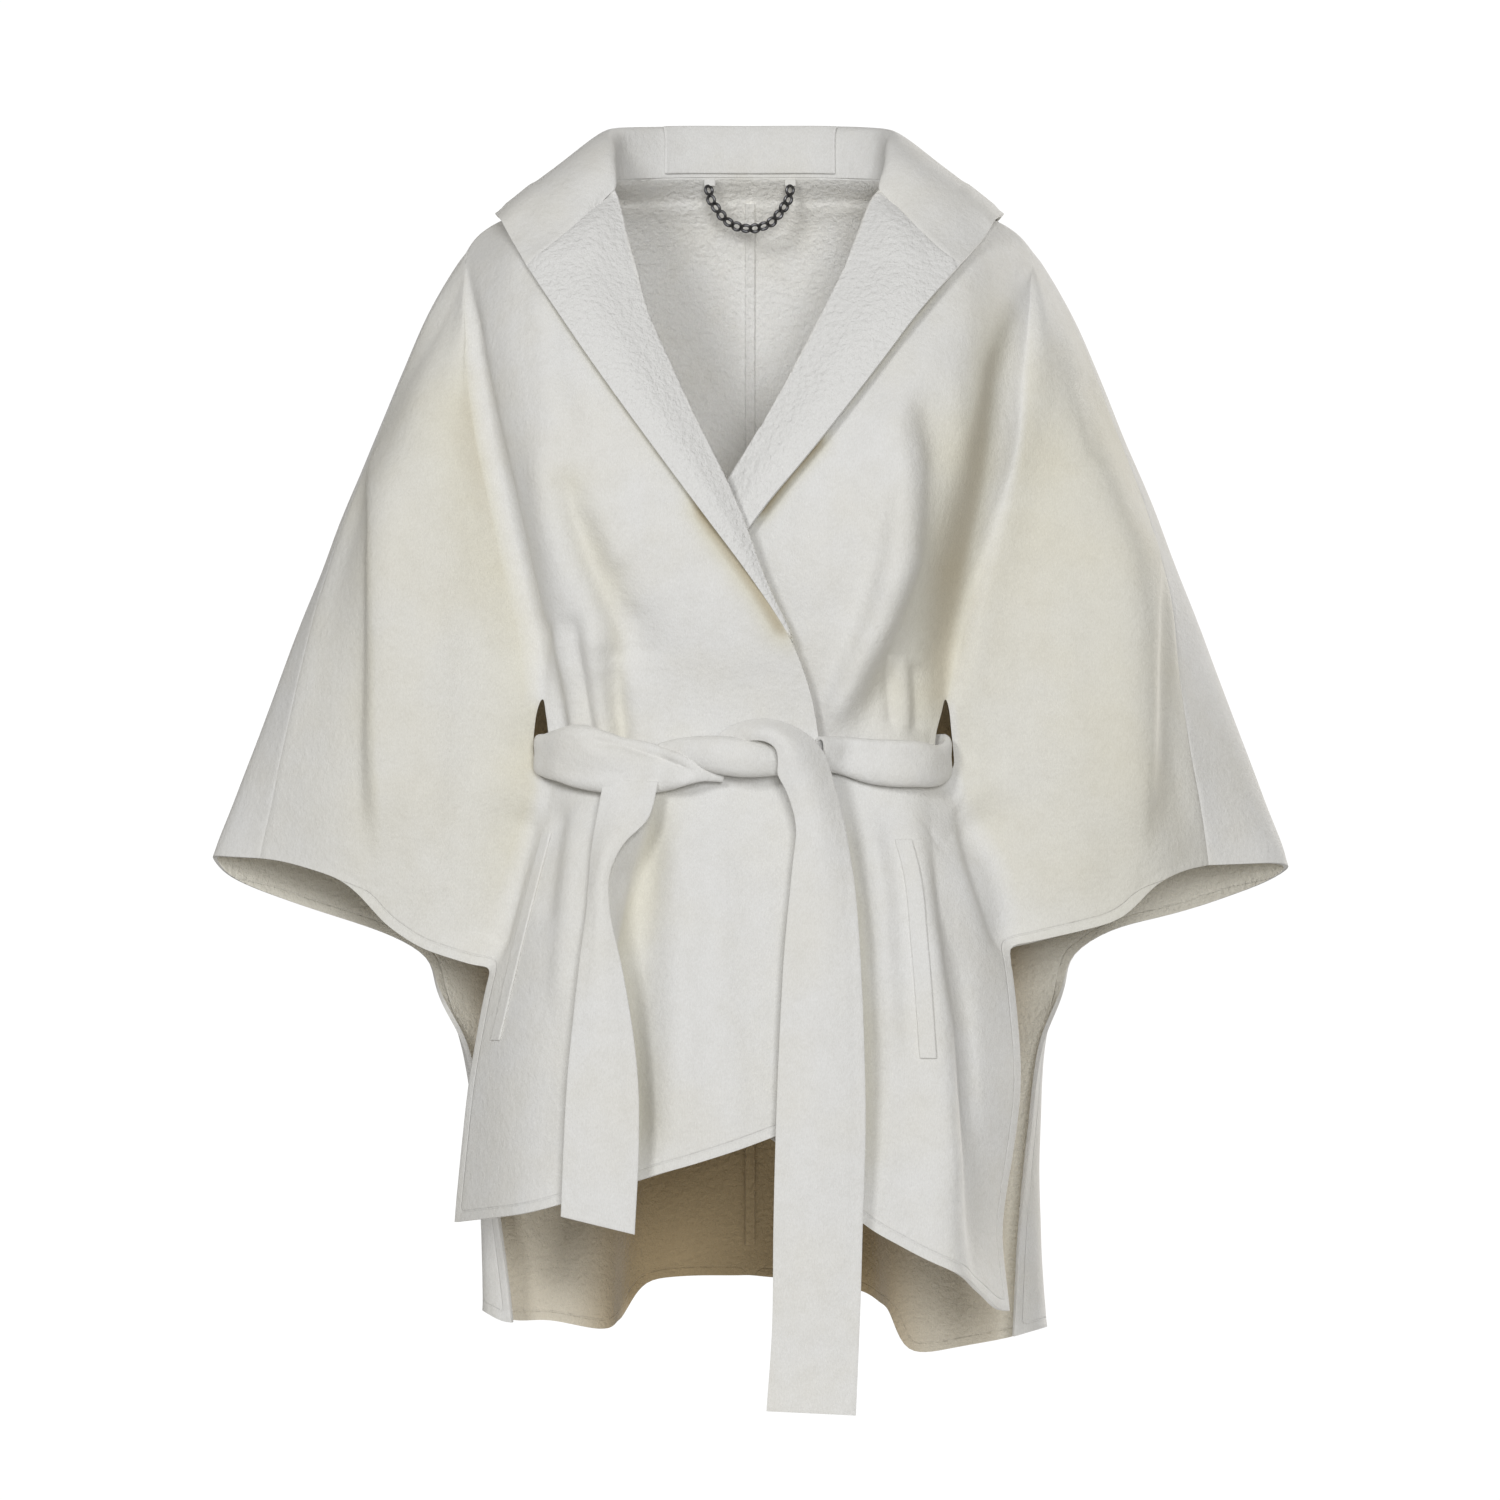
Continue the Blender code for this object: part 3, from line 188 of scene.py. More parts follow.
BACK_HEM = {
    RIGHT: ((0, -745), (45, -745), (80, -749), (92, -772), (103, -786), (120, -782), (150, -776),
            (175, -780), (192, -770)),
    LEFT: ((0, -745), (50, -749), (88, -757), (103, -772), (110, -799), (130, -802), (150, -796),
           (180, -792), (214, -782)),
}

# Heights of the grid rows above the hems. The sleeve starts at one row, and the belt slit lies between two.
ROWS = (35, 25, 12, -9, -18, -45, -69, -94, -120, -145, -172, -199, -222, -246, -268, -290, -308, -327,
        -350, -372, -388, -403, -425)
SLEEVE_TOP_ROW = 6
SLIT_Z = (-327, -388)
SLEEVE_END_ROWS = 8
SKIRT_ROWS = 14
HIGH_HEM_ROWS = 5
SHOULDER_FLAT_Z = 20
GORGE_HEIGHTS = (25, 12, -9, -18)
LAPEL_FOOT_Z = -300
EDGE_FOOT_Z = -640
FOLD_FOOT_Z = -700
SLEEVE_LOW_Z = -443
FREE_SIDE_Z = {RIGHT: -523, LEFT: -508}
FREE_BACK_Z = {RIGHT: -516, LEFT: -514}
SIDE_STEP = 22
SLEEVE_SHORT = 40
SLEEVE_BRINK = 0.19
SKIRT_BLEND = 60.0
SPREAD_FROM = 110

# Grid columns, as fractions of the way across each patch.
BODY_STEPS = (0, 0.03, 0.08, 0.2, 0.32, 0.44, 0.56, 0.68, 0.79, 0.89, 0.96, 1)
SLEEVE_STEPS = (0, 0.14, 0.3, 0.46, 0.6, 0.74, 0.87, 1)
LAPEL_STEPS = (0, 0.1, 0.25, 0.5, 0.75, 1)
BACK_SLEEVE_STEPS = (0, 0.08, 0.18, 0.32, 0.5, 0.75, 1)
BACK_BODY_STEPS = (0, 0.06, 0.14, 0.25, 0.37, 0.48, 0.56, 0.63, 0.72, 0.86, 1)
BACK_SEAM_OUT = -0.6

# Soft folds in the fronts: width across, height (minus is a trough), then its line as (out, z) points.
FOLDS = {RIGHT: (
    (16, -5, (132, -183), (110, -235), (80, -300)),
    (8, -4, (154, -292), (140, -355)),
    (7, 5, (130, -300), (117, -355)),
    (7, -4, (103, -310), (94, -355)),
    (14, -15, (72, -400), (80, -520), (86, -690)),
    (15, 8, (100, -405), (118, -700)),
    (14, 7, (50, -405), (52, -670)),
), LEFT: (
    (17, 7, (151, -43), (110, -120), (94, -151), (108, -200), (108, -245), (80, -300), (50, -359)),
    (18, -9, (138, -110), (150, -190), (143, -260), (118, -345)),
    (10, -7, (148, -497), (158, -620), (168, -756)),
    (15, 6, (128, -405), (137, -700)),
)}

# Collar lines from the gorge to the centre back, each as points of out, depth and z.
NECKLINE = ((98, -36, 35), (98, -21, 39), (98, -7, 41), (97.5, 6, 42.5), (88, 27, 43.6), (50, 49, 44.6),
            (0, 57, 44.6))
ROLL = ((98.3, -37, 36), (100, -28, 55), (101, -9, 70), (101, 14, 77), (90, 40, 80), (52, 62, 81),
        (0, 68, 81))
FALL = ((130, -50, 12), (139, -40, 30), (142, -16, 46), (140, 16, 50), (124, 56, 46), (72, 88, 42),
        (0, 97, 41))
FREE_EDGE = ((162, -57, -15), (172, -48, 1), (180, -31, 15.5), (181.5, 13, 17), (164, 68, 6), (96, 106, -4),
             (0, 118, -7))
COLLAR_RISE = 0.3
COLLAR_STATIONS = (0, 0.3, 0.65, 1)
COLLAR_ACROSS = (0, 0.1, 0.2, 0.3, 0.4, 0.52, 0.65, 0.82, 1)
COLLAR_ALONG = (0, 0.5, 1, 1.5, 2, 2.5, 3, 3.5, 4, 4.5, 5, 5.5, 6)
COLLAR_EASE_LEFT = (4, 3)
GORGE_GAP = (-0.2, 0.0, -0.2)

# The lapel's turn: how far it stands off, its rounding, its half gap, and the widths over which these grow.
LAPEL_STAND = 7.0
LAPEL_FULL = 30.0
LAPEL_RISE = 1.6
ROLL_ROUND = 5.0
ROLL_OPEN = 2.5
EDGE_FADE = 12.0

# Belt stretches, a strip folded on itself: centre (x, y, z), half height, half depth.
# Where y is None it lies on the fronts, as far off them as the cloth beneath it needs.
BELT_PLY = 2.0
BELT_OVER = 52.0
BELT_FEEL = 9
BELT_SWELL = 1.08
BELT_LIP = 3.0
BELT_TUCK = 0.2
BELT_STATION, TIE_STATION, TAIL_STATION = 6.0, 3.0, 6.0
BELT_AROUND, TAIL_ACROSS = 25, 13
TAIL_GROOVE = 0.7
BELT_BAND = (
    (-20, -117, -387, 2.5, 1.5),
    (-30, -121, -385, 4, 2.4),
    (-48, -124, -382.5, 10, 3.8),
    (-65, None, -381.5, 15, 5.2),
    (-79, None, -380, 18, 6.0),
    (-99, None, -377.5, 20, 6.4),
    (-119, None, -373.5, 20.5, 5.8),
    (-134, -101, -371, 18.5, 4.2),
    (-146, -85, -371, 15, 2.8),
    (-153, -73, -370, 13, 1.8),
    (-150.2, -62.5, -369, 13, 1.7),
    (-143, -49, -372, 15, 2.4),
    (-130, -20, -372, 17, 3.2),
    (-116, 20, -372, 18, 3.4),
    (-84, 54, -372, 18, 3.4),
    (-42, 73, -372, 18, 3.4),
    (0, 78, -372, 18, 3.4),
    (42, 73, -372, 18, 3.4),
    (84, 54, -372, 18, 3.4),
    (114, 20, -372, 18, 3.4),
    (122, -20, -372, 17, 3.2),
    (132, -48, -372, 15, 2.4),
    (140.5, -60.5, -369, 13, 1.7),
    (142.5, -72, -373, 12.5, 1.8),
    (136, -83, -378, 13.5, 3.0),
    (119, None, -377, 15.5, 5.0),
    (104, None, -376.5, 16, 5.6),
    (88, None, -375, 15.5, 5.6),
    (68, None, -371, 13, 5.4),
    (50, None, -369.5, 11, 4.8),
)
BELT_KNOT = (
    (26, -120, -378, 6, 4.0),
    (17, -124, -376, 9, 6.4),
    (-1, -127, -373, 12.4, 8.2),
    (-20, -125, -370.5, 12.4, 8.0),
    (-40, -120, -367.5, 9.4, 6.0),
    (-54, -115, -366, 6, 4.0),
    (-65, -111, -366, 3, 2.4),
)
# The long tail loops over the knot: left edge (x, z), right edge (x, z), their depths and the bulge.
TAIL_LONG = (
    (-18, -361.4, -22, -356.5, -118, -117, 1),
    (-3.6, -360, -10.4, -349.6, -129, -123, 3),
    (9.4, -359.5, 5.5, -345.7, -136, -127, 5),
    (15.3, -362, 19.3, -346.5, -139, -129, 6),
    (20, -367, 33, -352, -140, -129, 7),
    (21, -376, 45, -360, -140, -128, 8),
    (20, -384, 54, -372, -139, -126, 8),
    (25.2, -393, 58, -386, -138, -126, 7.5),
    (30, -405, 62, -400, -138, -128, 7),
    (33.5, -420, 66, -416, -139, -131, 6),
    (31, -450, 72.5, -450, -143, -137, 5),
    (25, -510, 78, -500, -153, -149, 4),
    (22, -560, 81, -555, -160, -157, 3.5),
    (19, -632, 83, -632, -166, -165, 3),
    (17, -710, 81, -710, -170, -169, 2.5),
    (16, -783, 79, -776, -172, -172.5, 2),
    (12, -843, 76, -846, -174, -174.5, 2),
)
TAIL_SHORT = (
    (-105, -388, -66, -390, -117, -120, 2),
    (-110, -415, -74, -418, -122, -129, 4),
    (-113, -436, -91, -434, -128, -135, 5),
    (-115, -462, -102, -458, -134, -139, 4),
    (-117, -482, -101, -484, -139, -144, 4),
    (-122, -516, -94, -516, -147, -150, 4),
    (-127, -560, -86, -560, -154, -157, 4),
    (-131, -600, -81, -600, -159, -162, 3.5),
    (-134, -652, -80, -650, -163, -167, 3),
    (-136, -703, -83, -716, -166, -170, 2),
)

# Pocket welts: inner line from top to bottom, as (out, z) pairs, and the width.
WELTS = {
    RIGHT: (((143, -426), (162, -500), (180, -576)), 6.5),
    LEFT: (((104, -431), (109, -449), (116, -510), (122, -589)), 12.5),
}
WELT_ACROSS = (0, 0.25, 0.5, 0.75, 1)
WELT_DOWN = 40

# Hanger chain: the middles of its links along a hanging curve, the shape of one link, and the cloth tabs.
CHAIN = ((-29.6, 51, 36), (-28, 51, 29), (-24.5, 51, 23.5), (-20.5, 51, 18), (-15.5, 51, 13), (-9.5, 51, 10),
         (-3, 51, 8.6), (3.5, 51, 8.6), (9.8, 51, 10.2), (15.6, 51, 13.2), (20.5, 51, 18.4), (24.5, 51, 24),
         (27.5, 51, 29), (28.8, 51, 36))
LINK_RADIUS, LINK_STRETCH, LINK_TURN, LINK_AROUND = 2.9, 1.12, 32, 20
WIRE_RADIUS, WIRE_SIDES = 1.2, 8
TAB_WIDE, TAB_OUT, TAB_DEPTH = 8.0, 29.0, 51.5
TAB_TOP, TAB_FOOT = 44.0, 39.0
TAB_ACROSS, TAB_DOWN = 5, 7

# Neck patch on the collar's stations, and the centre-back tape: first, last and count across and along.
PATCH_ACROSS, PATCH_ALONG = (0.015, 0.27, 11), (4.72, 6, 17)
PATCH_OFF = CLOTH / 2 + TRIM * 0.8
PATCH_GROOVE = 0.6
TAPE_ACROSS, TAPE_DOWN, TAPE_DEPTH = (-3.6, 3.6, 7), (36, -738, 78), 80

# What is laid on a panel: from where along depth it is dropped, in metres, and how far it stands off.
WELT_FROM, WELT_LIFT = -1.0, 1.25
TAPE_FROM, TAPE_LIFT = 0.02, 1.5


def full_size(points):
    """True places of points read on the front view, in millimetres: what is nearer looks larger there."""
    points = np.array(points, float)
    scale = (VIEW_DISTANCE + points[..., 1]) / VIEW_DISTANCE
    points[..., 0] *= scale
    points[..., 2] = (points[..., 2] - VIEW_HEIGHT) * scale + VIEW_HEIGHT
    return points


def seen_size(points):
    """The front view's x and z of true points."""
    scale = (VIEW_DISTANCE + points[:, 1]) / VIEW_DISTANCE
    return points[:, 0] / scale, (points[:, 2] - VIEW_HEIGHT) / scale + VIEW_HEIGHT


def smooth(keys, values, at):
    """A smooth curve through a table's values, held level beyond its ends."""
    keys = np.array(keys, float)
    values = np.array(values, float)
    if keys[0] > keys[-1]:
        keys, values = keys[::-1], values[::-1]
    slopes = np.gradient(values, keys, axis=0)
    at = np.clip(np.asarray(at, float), keys[0], keys[-1])
    index = np.clip(np.searchsorted(keys, at, side="right") - 1, 0, len(keys) - 2)
    width = keys[index + 1] - keys[index]
    t = (at - keys[index]) / width
    if values.ndim > 1:
        t = t[..., None]
        width = width[..., None]
    start, end = values[index], values[index + 1]
    return (
        start * (1 + 2 * t) * (1 - t) ** 2
        + end * t**2 * (3 - 2 * t)
        + slopes[index] * width * t * (1 - t) ** 2
        - slopes[index + 1] * width * t**2 * (1 - t)
    )


def along(points, at):
    """Points at fractions of the way along a smooth curve."""
    points = np.array(points, float)
    steps = np.linalg.norm(np.diff(points, axis=0), axis=1)
    points = np.concatenate([points[:1], points[1:][steps > TINY]])
    steps = steps[steps > TINY]
    if len(steps) == 0:
        return np.broadcast_to(points[0], np.shape(at) + points[0].shape)
    ways = np.concatenate([[0], np.cumsum(steps)]) / steps.sum()
    return smooth(ways, points, at)


def ease(value):
    value = np.clip(value, 0.0, 1.0)
    return value * value * (3 - 2 * value)


def halved(values):
    """The values with the middle of each two between them."""
    values = np.array(values, float)
    return tuple(np.interp(np.arange(2 * len(values) - 1) / 2, np.arange(len(values)), values))


def column(table, names, name):
    return [row[names.index(name)] for row in table]


def turned(grid, side):
    """A grid of out values as one of x, with its faces outwards for either side."""
    grid = np.array(grid, float)
    grid[..., 0] *= side
    return grid if side == LEFT else grid[:, ::-1]


def near_line(x, z, line):
    """Signed distance of many points from a polyline, and how far along it each one is."""
    line = np.array(line, float)
    steps = np.linalg.norm(np.diff(line, axis=0), axis=1)
    best = np.full(len(x), np.inf)
    apart = np.zeros(len(x))
    reach = np.zeros(len(x))
    for k, step in enumerate(steps):
        way = (line[k + 1] - line[k]) / step
        off_x, off_z = x - line[k][0], z - line[k][1]
        share = np.clip((off_x * way[0] + off_z * way[1]) / step, 0, 1)
        far = np.hypot(off_x - way[0] * step * share, off_z - way[1] * step * share)
        closer = far < best
        best = np.where(closer, far, best)
        apart = np.where(closer, np.sign(off_x * way[1] - off_z * way[0]) * far, apart)
        reach = np.where(closer, (steps[:k].sum() + step * share) / steps.sum(), reach)
    return apart, reach


def creased(x, z, creases):
    """How far the listed creases raise the cloth at many points of the front view."""
    total = np.zeros(len(x))
    for before, after, height, *line in creases:
        apart, reach = near_line(x, z, line)
        ends = ease(np.minimum(reach, 1 - reach) / FOLD_ENDS)
        wide = np.where(apart < 0, before, after)
        total += height * (FOLD_TIP + (1 - FOLD_TIP) * ends) * np.exp(-((apart / wide) ** 2))
    return total


def fold_height(folds, out, z):
    """How far the soft folds of the solids raise the cloth at one (out, z)."""
    rows = [(width, width, height, *line) for width, height, *line in folds]
    return float(creased(np.array([out], float), np.array([z], float), rows)[0])


# The solids' rows and columns, each halved once more.
ROWS = halved(ROWS)
BODY_STEPS, SLEEVE_STEPS, LAPEL_STEPS = halved(BODY_STEPS), halved(SLEEVE_STEPS), halved(LAPEL_STEPS)
BACK_SLEEVE_STEPS, BACK_BODY_STEPS = halved(BACK_SLEEVE_STEPS), halved(BACK_BODY_STEPS)
COLLAR_ACROSS, COLLAR_ALONG = halved(COLLAR_ACROSS), halved(COLLAR_ALONG)


class Front:
    """One front: its body, sleeve half and turned lapel, all from the section tables."""

    def __init__(self, side):
        self.side = side
        self.table = FRONT[side]
        self.sleeve = SLEEVE[side]
        self.folds = FOLDS[side]

    def value(self, name, z):
        return smooth(column(self.table, FRONT_COLUMNS, "z"), column(self.table, FRONT_COLUMNS, name), z)

    def depth(self, out, z):
        """Depth of the body front at one (out, z)."""
        outs = [float(self.value(name, z)) for name in ("edge", "chest", "ridge", "fold")]
        depths = [float(self.value(name, z)) for name in ("edge_y", "chest_y", "ridge_y", "fold_y")]
        if z > SHOULDER_FLAT_Z:
            return float(np.interp(out, outs, depths)) if outs[3] > outs[0] + 1 else depths[0]
        fall = min(1.0, max(0.0, (outs[3] - out) / EDGE_FADE))
        return float(smooth(outs, depths, out)) - float(fold_height(self.folds, out, z)) * fall

    def roll(self, out, z):
        """How much of the roll's rounding is left at this distance from the edge, where a lapel turns."""
        lapel = float(self.value("lapel", z) - self.value("edge", z))
        share = min(1.0, max(0.0, lapel) / EDGE_FADE)
        return share * (1 - math.exp(-max(0.0, out - float(self.value("edge", z))) / ROLL_ROUND))

    def body_point(self, fraction, z):
        if z == ROWS[0]:
            return along(NECKLINE[:4], fraction) if self.side == RIGHT else self.left_neck(fraction)
        edge, fold = float(self.value("edge", z)), float(self.value("fold", z))
        out = edge + (fold - edge) * fraction
        return np.array([out, self.depth(out, z) + ROLL_OPEN * self.roll(out, z), z])

    def left_neck(self, fraction):
        start = np.array([float(self.value("edge", ROWS[0])), *NECKLINE[0][1:]])
        return along((start, *NECKLINE[1:4]), fraction)

    def lapel_point(self, fraction, z):
        edge, free = float(self.value("edge", z)), float(self.value("lapel", z))
        if z == ROWS[0] or free - edge < FACET:
            return self.body_point(0.0, z)
        out = edge + (free - edge) * fraction
        spread = min(1.0, (free - edge) / LAPEL_FULL)
        stand = ROLL_OPEN * self.roll(out, z) + LAPEL_STAND * spread * float(ease(fraction * LAPEL_RISE))
        return np.array([out, self.depth(out, z) - stand, z])

    def sleeve_point(self, fraction, z):
        names = (("slit", "slit_y"), ("trough", "trough_y"), ("crown", "crown_y"), ("seam", "seam_y"))
        keys = column(self.sleeve, SLEEVE_COLUMNS, "z")
        guides = [
            [float(smooth(keys, column(self.sleeve, SLEEVE_COLUMNS, name), z)) for name in pair]
            for pair in names
        ]
        if not SLIT_Z[1] < z < SLIT_Z[0]:
            guides[0] = self.body_point(1.0, z)[:2]
        out, depth = along(guides, fraction)
        return np.array([out, depth, z])

    def heights(self, fraction):
        """Row heights of a body column, from the neck to the skirt hem."""
        edge_out = float(self.value("edge", EDGE_FOOT_Z))
        fold_out = float(self.value("fold", FOLD_FOOT_Z))
        hem = FRONT_HEM[self.side]
        last = float(np.interp(edge_out + (fold_out - edge_out) * fraction, *zip(*hem)))
        free = FREE_SIDE_Z[self.side]
        middle = free + (1 - fraction) * SIDE_STEP
        upper = np.linspace(ROWS[-1], middle, SLEEVE_END_ROWS + 1)[1:]
        lower = np.linspace(middle, last, SKIRT_ROWS + 1)[1:]
        return [*ROWS, *upper, *lower]

    def lies(self, out, z):
        """Depth of the built body grid at (out, z), flat between its points."""
        levels = [float(np.interp(out, row[:, 0], row[:, 2])) for row in self.body[1:]]
        depths = [float(np.interp(out, row[:, 0], row[:, 1])) for row in self.body[1:]]
        return float(np.interp(z, levels[::-1], depths[::-1]))

    def grids(self, body_steps, sleeve_steps, lapel_steps):
        count = len(ROWS) + SLEEVE_END_ROWS + SKIRT_ROWS
        body = np.zeros((count, len(body_steps), 3))
        for j, fraction in enumerate(body_steps):
            for i, z in enumerate(self.heights(fraction)):
                body[i, j] = self.body_point(fraction, z)
        self.body = body
        sleeve_count = len(ROWS) + SLEEVE_END_ROWS - SLEEVE_TOP_ROW
        sleeve = np.zeros((sleeve_count, len(sleeve_steps), 3))
        for j, fraction in enumerate(sleeve_steps):
            reach = self.sleeve_point(fraction, FREE_SIDE_Z[self.side] + SLEEVE_SHORT)[0]
            hem = float(np.interp(reach, *zip(*SLEEVE_HEM[self.side])))
            if fraction == 0:
                hem = FREE_SIDE_Z[self.side]
            levels = [*ROWS[SLEEVE_TOP_ROW:], *np.linspace(ROWS[-1], hem, SLEEVE_END_ROWS + 1)[1:]]
            if hem > ROWS[-1] - SLEEVE_SHORT:
                start = len(ROWS) - SLEEVE_TOP_ROW - HIGH_HEM_ROWS
                levels[start:] = np.linspace(levels[start], hem, len(levels) - start)
            for i, z in enumerate(levels):
                sleeve[i, j] = self.sleeve_point(fraction, z)
        rows = [z for z in ROWS if z > LAPEL_FOOT_Z]
        lapel = np.zeros((len(rows), len(lapel_steps), 3))
        for i, z in enumerate(rows):
            for j, fraction in enumerate(lapel_steps):
                lapel[i, j] = self.lapel_point(fraction, z)
        return body, sleeve, lapel


def seam_point(front, z):
    """The overarm seam: the body front's side down to the shoulder point, then the sleeve's."""
    return front.body_point(1.0, z) if z >= ROWS[SLEEVE_TOP_ROW] else front.sleeve_point(1.0, z)


def section_at(rows, guide, z):
    """One guide point (out, depth) of a table of back sections at height z."""
    return smooth([row[0] for row in rows], [row[1][guide] for row in rows], z)


def skirt_curves(side):
    """The back skirt's sections, each as a curve of the body's columns."""
    spread = SKIRT_SPREAD[side]
    top = BACK_SKIRT[0][0]
    curves = []
    for z, guides in BACK_SKIRT:
        wide = 1 + spread * (top - z) / (top - BACK_SKIRT[-1][0]) / guides[1][0]
        reach = np.array([(out * (wide if out > SPREAD_FROM else 1), depth) for out, depth in guides])
        curves.append(along(reach, BACK_BODY_STEPS))
    return np.array(curves)


def back_grids(front):
    """One back half: its sleeve patch from the overarm seam, and its body patch to the centre-back seam."""
    side = front.side
    count = len(ROWS)
    sleeve = np.zeros((count + SLEEVE_END_ROWS, len(BACK_SLEEVE_STEPS), 3))
    body = np.zeros((count + SLEEVE_END_ROWS + SKIRT_ROWS, len(BACK_BODY_STEPS), 3))
    curves = skirt_curves(side)
    curve_z = [row[0] for row in BACK_SKIRT]
    free = FREE_BACK_Z[side]

    def upper(z):
        guides = [section_at(BACK_UPPER, k, z) for k in range(len(BACK_UPPER[0][1]))]
        rim = along((seam_point(front, z)[:2], *guides[:3]), BACK_SLEEVE_STEPS)
        return rim, along((guides[2], guides[3], guides[4]), BACK_BODY_STEPS)

    sleeve[0] = NECKLINE[3]
    body[0] = along(NECKLINE[3:], BACK_BODY_STEPS)
    for i, z in enumerate(ROWS[1:], 1):
        sleeve[i, :, :2], body[i, :, :2] = upper(z)
        sleeve[i, :, 2] = body[i, :, 2] = z
    for j, fraction in enumerate(BACK_SLEEVE_STEPS):
        hem = float(np.interp(upper(SLEEVE_LOW_Z)[0][j][0], *zip(*SLEEVE_BACK_HEM[side])))
        if fraction <= SLEEVE_BRINK:
            share = fraction / SLEEVE_BRINK
            hem = SLEEVE_HEM[side][-1][1] * (1 - share) + SLEEVE_BACK_HEM[side][-1][1] * share
        if j == len(BACK_SLEEVE_STEPS) - 1:
            hem = free
        for i, z in enumerate(np.linspace(ROWS[-1], hem, SLEEVE_END_ROWS + 1)[1:]):
            sleeve[count + i, j] = (*upper(z)[0][j], z)
    for j in range(len(BACK_BODY_STEPS)):
        for i, z in enumerate(np.linspace(ROWS[-1], free, SLEEVE_END_ROWS + 1)[1:]):
            body[count + i, j] = (*upper(z)[1][j], z)
        hem = float(np.interp(curves[-1][j][0], *zip(*BACK_HEM[side])))
        for i, z in enumerate(np.linspace(free, hem, SKIRT_ROWS + 1)[1:]):
            join = ease((free - z) / SKIRT_BLEND)
            high = upper(max(z, BACK_UPPER[-1][0]))[1][j]
            place = smooth(curve_z, curves[:, j], z) * join + high * (1 - join)
            body[count + SLEEVE_END_ROWS + i, j] = (*place, z)
    body[:, -1, 0] = BACK_SEAM_OUT
    return [full_size(turned(grid, side)) for grid in (sleeve, body)]


def collar_guides(front):
    """The collar's neckline, roll, fall and free edge on one side, from the gorge to the centre back."""
    gorge = [front.lapel_point(1.0, z) + GORGE_GAP for z in GORGE_HEIGHTS]
    start = np.array(ROLL[0], float)
    start[0] += float(front.value("edge", ROWS[0])) - NECKLINE[0][0]
    neck = np.array(NECKLINE, float)
    neck[0, 0] += start[0] - ROLL[0][0]
    neck[:, 2] += COLLAR_RISE
    gorge = np.array([start, *gorge])
    roll, fall, free = np.array(ROLL, float), np.array(FALL, float), np.array(FREE_EDGE, float)
    roll[0] = start
    fall[0] = gorge[2]
    free[0] = gorge[-1]
    if front.side == LEFT:
        free[1:3, 0] -= COLLAR_EASE_LEFT
    return neck, roll, fall, free, gorge


def collar_half(front, across=COLLAR_ACROSS, stations=COLLAR_ALONG):
    """Collar points on one side: a row for each station from the gorge to the centre back."""
    neck, roll, fall, free, gorge = collar_guides(front)
    marks = range(len(neck))
    grid = []
    for station in stations:
        guides = [smooth(marks, line, float(station)) for line in (neck, roll, fall, free)]
        if station == 0:
            level = [np.interp(t, (0, COLLAR_STATIONS[1]), (0, 1)) for t in across]
            way = [np.interp(t, (COLLAR_STATIONS[1], 1), (0, 1)) for t in across]
            steps = np.linalg.norm(np.diff(gorge, axis=0), axis=1)
            ways = np.concatenate([[0], np.cumsum(steps)]) / steps.sum()
            line = np.array([[np.interp(w, ways, gorge[:, k]) for k in range(3)] for w in way])
            base = np.array([guides[0] + (roll[0] - guides[0]) * share for share in level])
            early = np.array(across)[:, None] <= COLLAR_STATIONS[1]
            grid.append(np.where(early, base, line))
        else:
            grid.append(smooth(COLLAR_STATIONS, guides, across))
    return np.array(grid)


def collar_grid(across=COLLAR_ACROSS, stations=COLLAR_ALONG):
    right = collar_half(fronts[RIGHT], across, stations) * (RIGHT, 1, 1)
    left = collar_half(fronts[LEFT], across, stations)
    return full_size(np.concatenate([right, left[::-1][1:]]))


